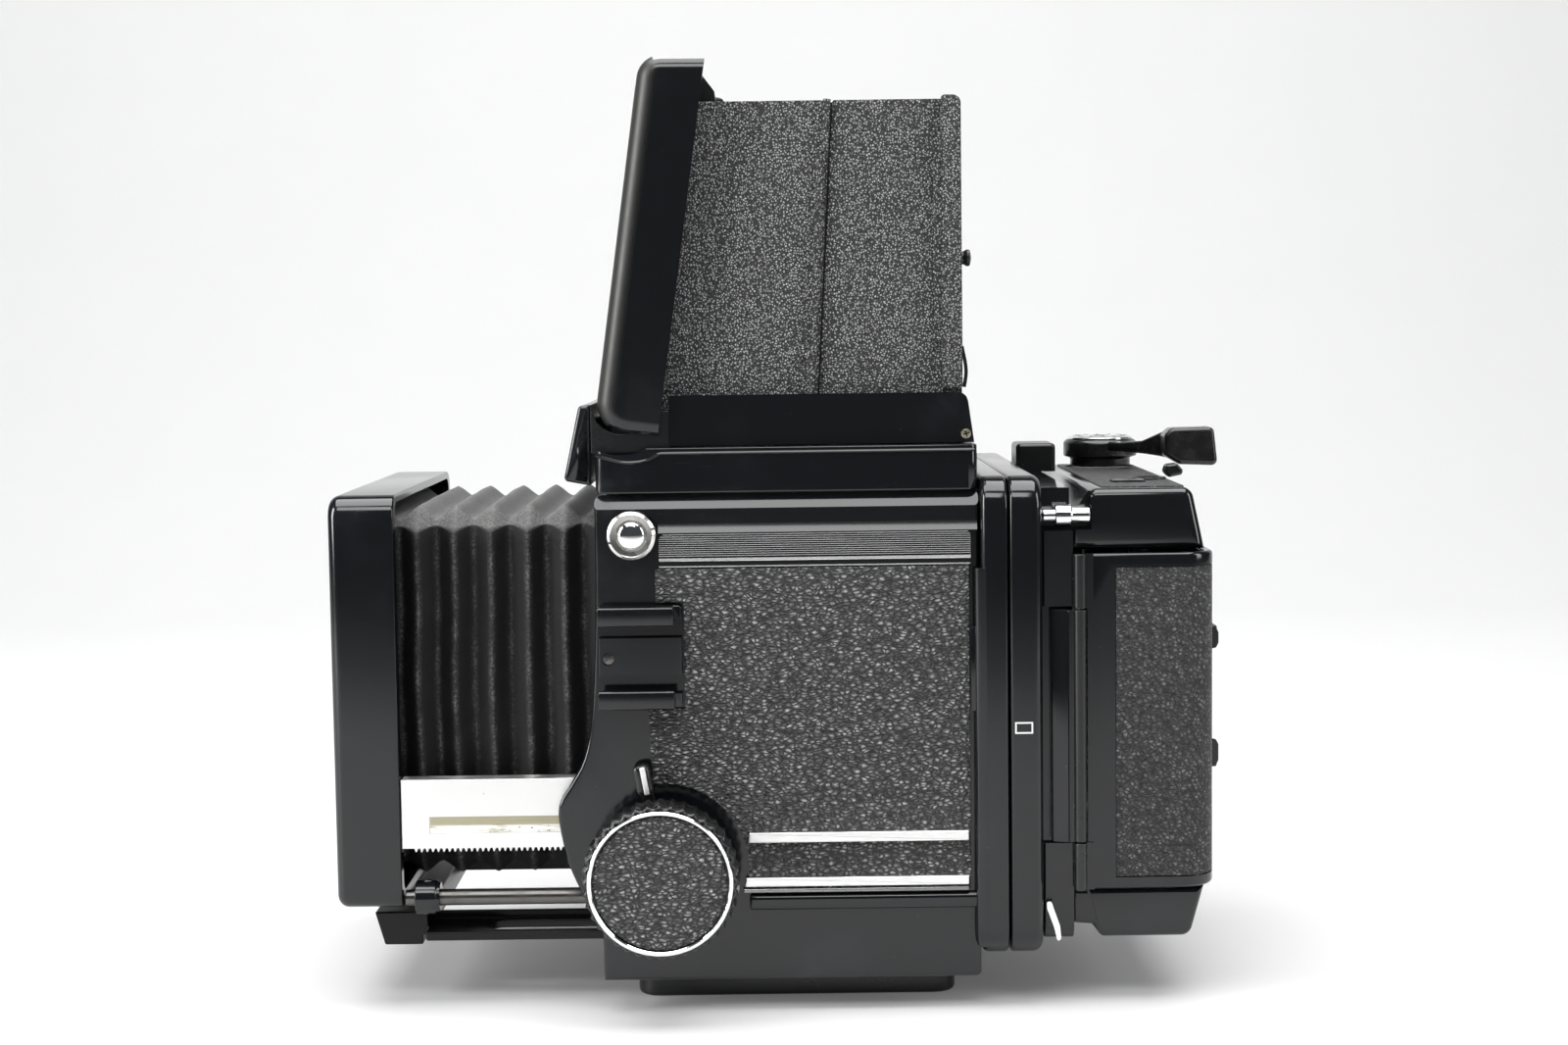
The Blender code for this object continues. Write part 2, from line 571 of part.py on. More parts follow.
# --- finder and hood ---
def finder(mats):
    finish(block(-31.5, 34.5, -39.2, 39.2, 108.0, 111.2), "focusing_screen", mats["screen_glass"])
    outline = rounded(box_outline(-43.5, 41.5, -51.0, 51.0), 2.0, 3)
    base = finish(slab(outline, "Z", 117.3, 127.4, 0.4, 0.4), "finder_base", mats["gloss_black"])
    for _, sign in sides():
        y0, y1 = span(sign, 45.0, 47.6)
        post = [(-40.2, 122.0), (-34.6, 122.0), (HINGE_X + 1.9, HINGE_Z)]
        post += arc(HINGE_X, HINGE_Z, 1.9, 20, 160, 5) + [(HINGE_X - 1.9, HINGE_Z)]
        join(base, slab(post, "Y", y0, y1))
    cut(base, block(-33.0, 38.9, -46.5, 46.5, 110, 140))
    for y0, y1 in ((47.9, 60.0), (-60.0, -47.9), (-44.7, 44.7)):
        cut(base, rod("Y", (HINGE_X, HINGE_Z), 11.3, y0, y1, 40))
    cut(base, rod("Y", (HINGE_X, HINGE_Z), 1.2, -60, 60, 14))
    side = rounded([(-27.0, 127.7), (41.0, 127.7), (39.4, 138.9), (-27.0, 138.9)], [0, 0, 2.2, 0.6], 3)
    frame = finish(slab(side, "Y", -48.4, 48.4), "finder_frame", mats["gloss_black"])
    cut(frame, block(-25.6, 39.0, -46.7, 46.7, 120, 145))
    cut(frame, block(-30.0, -20.0, -46.7, 46.7, 129.5, 145))
    prow = rounded([(-44.5, 119.0), (-44.5, 137.2), (-47.1, 136.8), (-50.7, 120.2)], [0, 0, 0.8, 0.8], 2)
    finish(slab(prow, "Y", -48.0, 48.0, 0.6, 0.6), "finder_prow", mats["gloss_black"])


def lid_point(s, t):
    """A point of the open lid in (X, Z): s runs along the lid from its hinge, t towards its outer face."""
    x = HINGE_X + s * math.sin(LEAN) - t * math.cos(LEAN)
    return (x, HINGE_Z + s * math.cos(LEAN) + t * math.sin(LEAN))


def lid_strip(s0, s1, t0, t1):
    return [lid_point(s0, t0), lid_point(s1, t0), lid_point(s1, t1), lid_point(s0, t1)]


def hood_lid(mats):
    pivot = (HINGE_X, 0.0, HINGE_Z)
    profile = rounded([lid_point(LID_S0, LID_LOW), lid_point(LID_S1, LID_LOW), lid_point(LID_S1, LID_TOP),
                       lid_point(LID_S0, LID_TOP)], [3.5, 1.2, 4.0, 7.0], 5)
    lid = finish(slab(profile, "Y", -LID_HALF, LID_HALF, 0.6, 0.6), "hood_lid", mats["gloss_black"])
    cut(lid, slab(lid_strip(-20, 100, -30, LID_CEIL), "Y", LID_SKIN - LID_HALF, LID_HALF - LID_SKIN))
    cut(lid, slab(lid_strip(74.2, 100, -30, 30), "Y", -44.2, 44.2))
    for _, sign in sides():
        y0, y1 = span(sign, 45.6, 49.4)
        join(lid, rod("Y", (HINGE_X, HINGE_Z), 0.9, y0, y1, 12))
    rehome(lid, pivot)


def rehome(obj, pivot):
    """Moves an object's origin to the pivot and leaves its shape where it is."""
    centre = Vector(pivot) * MM
    for vert in obj.data.vertices:
        vert.co -= centre
    obj.location = centre


def seam_x(z):
    return SEAM_LOW_X + (SEAM_HIGH_X - SEAM_LOW_X) * (z - 139.0) / (203.5 - 139.0)


def leaf_axis_x(z):
    """Where the front leaf's hinge line crosses a height."""
    s = (z - HINGE_Z - LEAF_T * math.sin(LEAN)) / math.cos(LEAN)
    return lid_point(s, LEAF_T)[0]


def rear_edge_x(z):
    return 36.3 - 1.6 * (z - 139.0) / 64.5


def upright(left_edge, right_edge, low, high):
    """An outline between two nearly upright edges, each given as X at a height."""
    bottom = [(left_edge(low), low), (right_edge(low), low)]
    return bottom + [(right_edge(high), high), (left_edge(high), high)]


def hood_leaves(mats):
    low, high, strap_top = LEAF_LOW, LEAF_TOP, 192.0
    for name, sign in sides():
        y0, y1 = span(sign, LEAF_OUT - LEAF_THICK, LEAF_OUT)
        front = upright(lambda z: leaf_axis_x(z) + 0.4, lambda z: seam_x(z) - 0.2, low, high)
        pivot = (leaf_axis_x(170.0), sign * LEAF_OUT, 170.0)
        bm = slab(rounded(front, [0, 0, 0.5, 1.5], 2), "Y", y0, y1)
        leaf = finish(bm, "hood_leaf_front_" + name, mats["crinkle_black"])
        b0, b1 = span(sign, LEAF_OUT - 0.5, LEAF_OUT + 0.7)
        strap = upright(lambda z: seam_x(z) - 2.6, lambda z: seam_x(z) - 0.2, low, strap_top)
        join(leaf, slab(strap, "Y", b0, b1))
        rehome(leaf, pivot)
        rear = upright(lambda z: seam_x(z) + 0.2, rear_edge_x, low, high)
        pivot = (seam_x(170.0), sign * (LEAF_OUT + 0.2), 170.0)
        bm = slab(rounded(rear, [0, 0, 0.5, 0.5], 2), "Y", y0, y1)
        leaf = finish(bm, "hood_leaf_rear_" + name, mats["crinkle_black"])
        rehome(leaf, pivot)


def hood_rear_wall(mats):
    outline = rounded(box_outline(-WALL_HALF, WALL_HALF, WALL_Z, 203.8), [0.4, 0.4, 3.0, 3.0], 3)
    wall = finish(slab(outline, "X", WALL_X, WALL_X + WALL_THICK), "hood_rear_wall", mats["crinkle_black"])
    cut(wall, block(30, 45, -11.0, 11.0, 131.7, 141.0))
    profile = [(0.0, 38.0), (1.8, 38.0), (1.8, 39.6), (1.2, 40.6), (0.0, 40.8)]
    join(wall, lathe(profile, "X", (0.0, 168.8), 16))
    rehome(wall, (WALL_X + WALL_THICK / 2, 0.0, WALL_Z + WALL_THICK / 2))


def magnifier(mats):
    pivot_s, pivot_t = 70.0, -10.6
    px, pz = lid_point(pivot_s, pivot_t)
    knuckle = rounded(lid_strip(66.6, 73.4, -13.4, -7.6), 1.4, 3)
    arm = finish(slab(knuckle, "Y", -8.0, 8.0, 0.4, 0.4), "magnifier_arm", mats["satin_black"])
    join(arm, slab(lid_strip(66.8, 69.6, -12.0, -0.6), "Y", -6.0, 6.0))
    join(arm, slab(lid_strip(60.0, 69.6, -2.4, -0.6), "Y", -6.0, 6.0))
    hoop = disc_on_lid(46.0, 17.0, -2.4, 1.4, 32)
    join(arm, hoop)
    cut(arm, disc_on_lid(46.0, 14.8, -5.0, 5.0, 32))
    rehome(arm, (px, 0.0, pz))
    lens = finish(disc_on_lid(46.0, 14.5, -2.0, 1.0, 32), "magnifier_lens", mats["lens_glass"])
    rehome(lens, (px, 0.0, pz))


def disc_on_lid(s, r, t0, t1, steps):
    """A disc lying in the open lid, between two depths."""
    rings = []
    for t in (t0, t1):
        ring = []
        for i in range(steps):
            a = 2 * math.pi * i / steps
            x, z = lid_point(s + r * math.cos(a), t)
            ring.append((x, r * math.sin(a), z))
        rings.append(ring)
    return loft(rings)


# --- revolving back and film magazine ---
def back(mats):
    def square(r):
        return rounded(box_outline(-BACK_HALF, BACK_HALF, AXIS_Z - BACK_HALF, AXIS_Z + BACK_HALF), r, 5)

    base = finish(slab(square(7.0), "X", 41.9, 47.9, 0.8, 0.8), "back_base", mats["gloss_black"])
    cut(base, block(35, 50, -36.0, 36.0, AXIS_Z - 36.0, AXIS_Z + 36.0))
    pivot = (52.0, 0.0, AXIS_Z)
    ring = finish(slab(square(7.0), "X", RING_FRONT, RING_REAR, 0.8, 1.0), "back_ring", mats["gloss_black"])
    cut(ring, block(45, 60, -36.0, 36.0, AXIS_Z - 30.0, AXIS_Z + 30.0))
    rehome(ring, pivot)


def magazine(mats):
    plate = rounded(box_outline(-50.5, 50.5, 15.1, 117.0), 4.0, 4)
    body = finish(slab(plate, "X", MAG_FRONT, MAG_PLATE, 0.4, 0.0), "magazine_body", mats["satin_black"])
    top = [(62.0, 103.1), (92.6, 103.1), (91.9, 106.5), (89.7, 116.9), (67.4, 116.9), (62.0, 109.0)]
    join(body, slab(rounded(top, [0, 0, 2.4, 2.4, 2.4, 0], 2), "Y", -48.0, 48.0, 2.0, 2.0))
    low = [(62.0, 26.6), (62.0, 20.5), (69.5, 15.1), (89.2, 15.1), (92.4, 26.6)]
    join(body, slab(rounded(low, [0, 0, 2.4, 2.4, 0], 2), "Y", -48.0, 48.0, 2.0, 2.0))
    cut(body, block(50, 70, -35.0, 35.0, AXIS_Z - 28.0, AXIS_Z + 28.0))
    cut(body, block(57.0, 58.4, -38.5, 60.0, AXIS_Z - 31.4, AXIS_Z + 31.4))
    cut(body, block(50.0, 67.1, -60.0, -43.6, 107.8, 125.0))
    cut(body, block(50.0, 66.4, -60.0, -48.8, 37.4, 90.9))
    outline = rounded([(57.6, -48.5), (61.5, -48.5), (61.5, -53.0), (57.6, -51.6)], 0.5, 2)
    join(body, slab(outline, "Z", 38.0, 90.3))
    join(body, rod("Z", (DOOR_PIN_X, DOOR_PIN_Y), 1.35, 38.0, 90.3, 16))
    join(body, block(60.8, 63.9, -52.4, -51.4, 38.0, 90.3))
    window = rod("Z", (84.0, -20.0), 3.0, 116.3, 120, 16)
    cut(body, window)

    corner = [(65.7, -51.4), (DOOR_REAR, -51.4), (DOOR_REAR, 51.4), (65.7, 51.4)]
    corner += [(65.7, 49.4), (92.8, 49.4), (92.8, -49.4), (65.7, -49.4)]
    shell = rounded(corner, [0, 8.0, 8.0, 0, 0, 6.0, 6.0, 0], 5)
    door = finish(slab(shell, "Z", DOOR_LOW, DOOR_TOP), "magazine_door", mats["satin_black"])
    for low, high in ((DOOR_LOW, 37.7), (90.6, DOOR_TOP)):
        join(door, rod("Z", (DOOR_PIN_X, DOOR_PIN_Y), 1.35, low, high, 16))
        join(door, block(DOOR_PIN_X, 67.0, -51.9, -50.6, low, high))
    for z in (44.6, 80.3):
        join(door, block(94.0, 97.6, -36.0, 36.0, z - 0.8, z + 0.8))
    for y in (-36.0, 35.2):
        for z0, z1 in ((44.0, 52.0), (72.9, 80.9)):
            join(door, block(94.0, 97.6, y, y + 0.8, z0, z1))
    rehome(door, (DOOR_PIN_X, DOOR_PIN_Y, AXIS_Z))
    plate = rounded(box_outline(-36.0, 36.0, AXIS_Z - 31.0, AXIS_Z + 31.0), 3.0, 3)
    pad = finish(slab(plate, "X", 63.2, 64.4, 0.2, 0.0), "pressure_plate", mats["steel"])
    rehome(pad, (63.8, 0.0, AXIS_Z))


def spools(mats):
    for name, y in (("supply_spool", -SPOOL_Y), ("takeup_spool", SPOOL_Y)):
        profile = [(0.0, 27.2), (2.2, 27.2), (2.2, 33.7), (12.0, 33.7), (12.0, 34.7), (4.2, 34.7)]
        profile += [(4.2, 97.6), (12.0, 97.6), (12.0, 98.6), (2.2, 98.6), (2.2, 102.6), (0.0, 102.6)]
        finish(lathe(profile, "Z", (SPOOL_X, y), 24), name, mats["spool"], (SPOOL_X, y, AXIS_Z))


def wind_parts(mats):
    profile = [(0.0, 117.3), (7.6, 117.3), (7.6, 119.6), (9.3, 120.2), (9.3, 123.4), (8.2, 124.8)]
    profile += [(7.4, 125.0), (0.0, 125.0)]
    bm = lathe(profile, "Z", (LEVER_X, LEVER_Y), 36)
    lever = finish(bm, "wind_lever", mats["knob_black"])
    tilt = math.degrees(math.atan2(5.0 - LEVER_Y, 98.0 - LEVER_X))
    arm = turned_bar((LEVER_X, LEVER_Y), tilt, ((4.0, 3.6), (32.0, 2.6)))
    join(lever, slab(arm, "Z", 121.3, 123.3))
    pad = [(91.2, 8.4), (103.6, 4.4), (104.0, 1.0), (91.2, 1.4)]
    join(lever, slab(rounded(pad, 1.2, 3), "Z", 121.0, 128.8, 0.6, 0.8))
    rehome(lever, (LEVER_X, LEVER_Y, 121.0))

    sheet = block(57.3, 58.1, -38.0, 51.0, AXIS_Z - 31.0, AXIS_Z + 31.0)
    slide = finish(sheet, "dark_slide", mats["steel"])
    handle = rounded(box_outline(56.2, 59.2, 50.9, 54.8), 0.8, 2)
    join(slide, slab(handle, "Z", AXIS_Z - 31.0, AXIS_Z + 31.0, 0.5, 0.5))
    rehome(slide, (57.7, 0.0, AXIS_Z))

    profile = [(0.0, 56.2), (1.5, 56.2), (1.5, 59.0), (2.5, 59.0), (2.5, 62.4), (1.8, 62.4)]
    profile += [(1.8, 66.6), (0.0, 66.6)]
    latch = finish(lathe(profile, "X", (-47.6, 111.0), 18), "back_latch", mats["chrome"])
    rehome(latch, (60.0, -47.6, 111.0))


def main():
    for obj in list(bpy.data.objects):
        bpy.data.objects.remove(obj)
    mats = palette()
    body_shell(mats)
    side_covers(mats)
    base_pieces(mats)
    skins(mats)
    accessory_shoe(mats)
    strap_lugs(mats)
    controls(mats)
    standard(mats)
    bellows(mats)
    slides(mats)
    knobs(mats)
    mirror_parts(mats)
    finder(mats)
    hood_lid(mats)
    hood_leaves(mats)
    hood_rear_wall(mats)
    magnifier(mats)
    back(mats)
    magazine(mats)
    spools(mats)
    wind_parts(mats)


main()
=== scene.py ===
"""The looks of a medium-format bellows reflex camera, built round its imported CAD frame.

Lengths in this script are millimetres of the row frame: +Z up, the lens mount towards -X, the
camera's left side towards -Y. Meshes and places are scaled to metres as they are made.
"""

import json
import math

import bmesh
import bpy
from mathutils import Matrix, Vector, noise

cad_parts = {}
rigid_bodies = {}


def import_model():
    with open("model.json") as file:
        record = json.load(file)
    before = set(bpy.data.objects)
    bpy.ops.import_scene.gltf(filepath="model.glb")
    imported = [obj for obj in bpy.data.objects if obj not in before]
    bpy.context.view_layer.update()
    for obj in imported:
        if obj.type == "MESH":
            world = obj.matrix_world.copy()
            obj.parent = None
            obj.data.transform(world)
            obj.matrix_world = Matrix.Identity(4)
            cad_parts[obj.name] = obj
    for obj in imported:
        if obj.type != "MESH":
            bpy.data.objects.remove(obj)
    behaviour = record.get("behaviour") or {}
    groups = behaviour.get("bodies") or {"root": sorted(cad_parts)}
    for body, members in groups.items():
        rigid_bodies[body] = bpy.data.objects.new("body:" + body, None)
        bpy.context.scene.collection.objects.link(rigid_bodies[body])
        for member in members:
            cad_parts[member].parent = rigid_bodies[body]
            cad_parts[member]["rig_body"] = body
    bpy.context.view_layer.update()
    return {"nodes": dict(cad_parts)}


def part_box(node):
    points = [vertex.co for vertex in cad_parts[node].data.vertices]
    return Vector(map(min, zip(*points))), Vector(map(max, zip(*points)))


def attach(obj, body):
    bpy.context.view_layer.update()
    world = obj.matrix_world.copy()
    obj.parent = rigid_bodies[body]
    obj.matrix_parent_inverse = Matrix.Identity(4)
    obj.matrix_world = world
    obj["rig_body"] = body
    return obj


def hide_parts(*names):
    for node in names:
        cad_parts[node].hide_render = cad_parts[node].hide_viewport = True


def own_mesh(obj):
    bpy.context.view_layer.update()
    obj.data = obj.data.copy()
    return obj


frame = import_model()

MM = 0.001
ARC = 6                      # steps in each rounded corner or edge
LEAN = math.radians(8.0)     # how far the open lid leans back
SIDES = (("left", -1.0), ("right", 1.0))

# The bodies that carry most pieces, and the two commonest finishes.
BODY, CARRIAGE, BACK = "camera_body", "lens_carriage", "revolving_back"
GLOSS, SATIN = "gloss_black", "satin_black"

# Centres of round parts: the first four in X and Z, the others in X and Y.
KNOB_CENTRE = (-29.7, 33.1)
COCKING_HUB = (-8.0, 62.0)
LID_HINGE = (-37.7, 137.0)
SHOE_SCREW = (-41.0, 80.8)
DOOR_HINGE = (63.9, -52.1)
COUNTER = (84.0, -20.0)
WINDER = (79.5, 34.0)


def box(node):
    """Lowest and highest corner of a CAD node, in millimetres."""
    low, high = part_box(node)
    return low / MM, high / MM


def middle(node):
    low, high = box(node)
    return (low + high) / 2


# ---------------------------------------------------------------- outlines
def arc(cx, cy, r, start, stop, steps):
    turn = [math.radians(start + (stop - start) * i / steps) for i in range(steps + 1)]
    return [(cx + r * math.cos(a), cy + r * math.sin(a)) for a in turn]


def circle(cx, cy, r, steps):
    return arc(cx, cy, r, 0.0, 360.0, steps)[:-1]


def oblong(a0, a1, b0, b1):
    return [(a0, b0), (a1, b0), (a1, b1), (a0, b1)]


def rounded(points, radius, steps=ARC):
    """The outline with each corner made an arc; radius is one number or one for each corner."""
    radii = radius if isinstance(radius, (list, tuple)) else [radius] * len(points)
    out = []
    for i, corner in enumerate(points):
        here = Vector(corner)
        back = Vector(points[i - 1]) - here
        ahead = Vector(points[(i + 1) % len(points)]) - here
        if radii[i] <= 0:
            out.append(tuple(here))
            continue
        half = back.angle(ahead) / 2
        reach = min(radii[i] / math.tan(half), back.length * 0.49, ahead.length * 0.49)
        r = reach * math.tan(half)
        back.normalize()
        ahead.normalize()
        centre = here + (back + ahead).normalized() * (r / math.sin(half))
        first, last = here + back * reach - centre, here + ahead * reach - centre
        sweep = first.angle_signed(last)
        for k in range(steps + 1):
            turned = Matrix.Rotation(-sweep * k / steps, 2) @ first
            out.append(tuple(centre + turned))
    return out


def flowing(points, steps=5):
    """An open run of points made smooth by a Catmull-Rom curve through them."""
    padded = [points[0]] + list(points) + [points[-1]]
    out = []
    for p0, p1, p2, p3 in zip(padded, padded[1:], padded[2:], padded[3:]):
        a, b, c, d = Vector(p0), Vector(p1), Vector(p2), Vector(p3)
        for k in range(steps):
            t = k / steps
            curve = 2 * b + (c - a) * t + (2 * a - 5 * b + 4 * c - d) * t * t
            curve += (3 * b - 3 * c + d - a) * t * t * t
            out.append(tuple(curve / 2))
    return out + [tuple(points[-1])]


def inset(points, by):
    """The outline moved inwards, for an outline that runs anticlockwise."""
    out = []
    count = len(points)
    for i in range(count):
        here = Vector(points[i])
        a = (here - Vector(points[i - 1])).normalized()
        b = (Vector(points[(i + 1) % count]) - here).normalized()
        na, nb = Vector((-a.y, a.x)), Vector((-b.y, b.x))
        side = (na + nb).normalized()
        out.append(tuple(here + side * by / max(0.4, side.dot(na))))
    return out


def anticlockwise(points):
    area = sum(p[0] * q[1] - q[0] * p[1] for p, q in zip(points, points[1:] + points[:1]))
    return points if area > 0 else points[::-1]


def place(axis, a, b, c):
    """The point at c along an axis and at a and b along the two others."""
    return {"X": (c, a, b), "Y": (a, c, b), "Z": (a, b, c)}[axis]


def span(sign, inner, outer):
    """An interval of |Y| on one side, in rising order."""
    return tuple(sorted((sign * inner, sign * outer)))


# ---------------------------------------------------------------- solids
def loft(rings, loop=False):
    """A skin through rings of equal length, with its ends capped or joined to each other."""
    bm = bmesh.new()
    rows = [[bm.verts.new(p) for p in ring] for ring in rings]
    pairs = list(zip(rows, rows[1:])) + ([(rows[-1], rows[0])] if loop else [])
    for low, high in pairs:
        for i in range(len(low)):
            j = (i + 1) % len(low)
            bm.faces.new((low[i], low[j], high[j], high[i]))
    if not loop:
        bm.faces.new(rows[0][::-1])
        bm.faces.new(rows[-1])
    return bm


def slab(outline, axis, low, high, edge_low=0.0, edge_high=0.0, steps=ARC):
    """An outline extruded along an axis, with each end's edge rounded by a quarter circle."""
    points = anticlockwise(list(outline))
    quarter = [math.pi / 2 * k / steps for k in range(steps + 1)]

    def rounding(level, edge):
        """(level, inset) pairs from an end face inwards; a negative edge runs downwards."""
        if not edge:
            return [(level, 0.0)]
        return [(level + edge * (1 - math.cos(a)), abs(edge) * (1 - math.sin(a))) for a in quarter]

    layers = rounding(low, edge_low) + rounding(high, -edge_high)[::-1]
    rings = []
    for level, by in layers:
        ring = inset(points, by) if by else points
        rings.append([place(axis, a, b, level) for a, b in ring])
    return loft(rings)


def lathe(profile, axis, centre, steps, wave=None):
    """Turns (radius, level) pairs about an axis; a profile whose ends are off the axis makes a ring."""
    closed = profile[0][0] > 0.01
    bm = bmesh.new()
    rows = []
    for r, level in profile:
        if r <= 0.01:
            rows.append([bm.verts.new(place(axis, centre[0], centre[1], level))] * steps)
            continue
        ring = []
        for i in range(steps):
            angle = 2 * math.pi * i / steps
            grown = r + (wave(angle, level) if wave else 0.0)
            a = centre[0] + grown * math.cos(angle)
            b = centre[1] + grown * math.sin(angle)
            ring.append(bm.verts.new(place(axis, a, b, level)))
        rows.append(ring)
    pairs = list(zip(rows, rows[1:])) + ([(rows[-1], rows[0])] if closed else [])
    for low, high in pairs:
        for i in range(steps):
            j = (i + 1) % steps
            corners = [low[i], low[j], high[j], high[i]]
            kept = [v for k, v in enumerate(corners) if v not in corners[:k]]
            if len(kept) > 2:
                bm.faces.new(kept)
    return bm


def turned(points, radius, steps=4):
    """A lathe profile whose corners are rounded; the ends stay where they are."""
    out = [points[0]]
    for before, here, after in zip(points, points[1:], points[2:]):
        h = Vector(here)
        back, ahead = Vector(before) - h, Vector(after) - h
        reach = min(radius, back.length * 0.45, ahead.length * 0.45)
        p, q = h + back.normalized() * reach, h + ahead.normalized() * reach
        for k in range(steps + 1):
            t = k / steps
            out.append(tuple(p * (1 - t) ** 2 + h * 2 * t * (1 - t) + q * t * t))
    return out + [points[-1]]


def side_slab(outline, sign, inner, outer, edge=0.0, steps=ARC):
    """A slab between two values of |Y| on one side; edge rounds the outer face's edge."""
    edges = (edge, 0.0) if sign < 0 else (0.0, edge)
    return slab(outline, "Y", *span(sign, inner, outer), *edges, steps)


def side_lathe(profile, sign, centre, steps, wave=None):
    """Turns (radius, |Y|) pairs about a Y axis on one side."""
    return lathe([(r, sign * h) for r, h in profile], "Y", centre, steps, wave)


def rod(axis, centre, r, low, high, steps=32, edge=0.0):
    return slab(circle(centre[0], centre[1], r, steps), axis, low, high, edge, edge, 3)


def block(x0, x1, y0, y1, z0, z1):
    return slab(oblong(x0, x1, y0, y1), "Z", z0, z1)


def tube(path, r, steps=10):
    """A round wire along a path of points."""
    rings = []
    points = [Vector(p) for p in path]
    for i, here in enumerate(points):
        ahead = points[min(i + 1, len(points) - 1)] - points[max(i - 1, 0)]
        side = ahead.cross(Vector((0.3, 0.9, 0.2))).normalized()
        up = ahead.cross(side).normalized()
        turn = [2 * math.pi * k / steps for k in range(steps)]
        rings.append([here + (side * math.cos(a) + up * math.sin(a)) * r for a in turn])
    return loft(rings)


def from_cad(node):
    """The CAD node's own shape in millimetres, with its flat faces made whole again."""
    flat = math.radians(0.6)
    bm = bmesh.new()
    bm.from_mesh(frame["nodes"][node].data)
    bmesh.ops.scale(bm, vec=(1 / MM,) * 3, verts=bm.verts)
    bmesh.ops.remove_doubles(bm, verts=bm.verts, dist=0.0005)
    bmesh.ops.dissolve_limit(bm, angle_limit=flat, verts=bm.verts, edges=bm.edges)
    return bm


# ---------------------------------------------------------------- pieces
def as_object(bm, name):
    bmesh.ops.recalc_face_normals(bm, faces=bm.faces)
    mesh = bpy.data.meshes.new(name)
    bmesh.ops.scale(bm, vec=(MM,) * 3, verts=bm.verts)
    bm.to_mesh(mesh)
    bm.free()
    obj = bpy.data.objects.new(name, mesh)
    bpy.context.scene.collection.objects.link(obj)
    return obj


def carve(obj, operation, *others):
    """Cuts or joins the object with each mesh in turn and keeps the result as its mesh."""
    for bm in others:
        tool = as_object(bm, obj.name + "_tool")
        step = obj.modifiers.new("step", "BOOLEAN")
        step.operation, step.solver, step.object = operation, "EXACT", tool
        bpy.context.view_layer.update()
        graph = bpy.context.evaluated_depsgraph_get()
        made = bpy.data.meshes.new_from_object(obj.evaluated_get(graph))
        obj.modifiers.clear()
        obj.data = made
        bpy.data.objects.remove(tool)
    return obj


def cut(obj, *others):
    return carve(obj, "DIFFERENCE", *others)


def join(obj, *others):
    return carve(obj, "UNION", *others)


def dress(obj, body, look, node=None, bevel=0.0, crease=32.0, segments=3):
    """Puts a piece on its body, in place of a CAD node, with its material and its edges rounded."""
    obj.data.materials.clear()
    obj.data.materials.append(LOOKS[look])
    obj.data.shade_smooth()
    obj.data.set_sharp_from_angle(angle=math.radians(crease))
    if bevel:
        weld = obj.modifiers.new("weld", "WELD")
        weld.merge_threshold = 2e-6
        rounding = obj.modifiers.new("edge", "BEVEL")
        rounding.width = bevel * MM
        rounding.segments = segments
        rounding.limit_method = "ANGLE"
        rounding.angle_limit = math.radians(crease)
        rounding.harden_normals = True
    else:
        obj.modifiers.new("flats", "WEIGHTED_NORMAL").keep_sharp = True
    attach(obj, body)
    if node:
        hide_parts(node)


def piece(bm, name, body, look, node=None, cuts=(), **kind):
    dress(cut(as_object(bm, name), *cuts), body, look, node, **kind)


def rework(node, look, bevel, **kind):
    """A CAD node whose shape is right, given fine edges and its material."""
    body = frame["nodes"][node]["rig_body"]
    piece(from_cad(node), node + "_surface", body, look, node, bevel=bevel, **kind)


def screw(name, body, at, axis, r, look="steel", cross=False, depth=0.5):
    """A slotted or cross-head screw; the sign of axis says which way its head faces."""
    sign = -1.0 if axis.startswith("-") else 1.0
    letter = axis[-1]
    a, b = [at[i] for i, other in enumerate("XYZ") if other != letter]
    level = at["XYZ".index(letter)]
    rim = turned([(0.0, 0.0), (r, 0.0), (r, depth * 0.6), (0.0, depth)], r * 0.25)
    bm = lathe([(q, level + sign * h) for q, h in rim], letter, (a, b), 28)
    head = as_object(bm, name)
    tilts = (20.0, 110.0) if cross else (28.0,)
    for tilt in tilts:
        t = math.radians(tilt)
        u, v = Vector((math.cos(t), math.sin(t))), Vector((-math.sin(t), math.cos(t)))
        reach, half = r * (0.62 if cross else 1.3), r * 0.13
        slot = [Vector((a, b)) + u * p + v * q for p, q in oblong(-reach, reach, -half, half)]
        ends = sorted((level + sign * depth * 0.35, level + sign * depth * 2))
        cut(head, slab([tuple(p) for p in slot], letter, *ends))
    dress(head, body, look)


# ---------------------------------------------------------------- materials
# The materials that the looks below make, by name.
LOOKS = {}


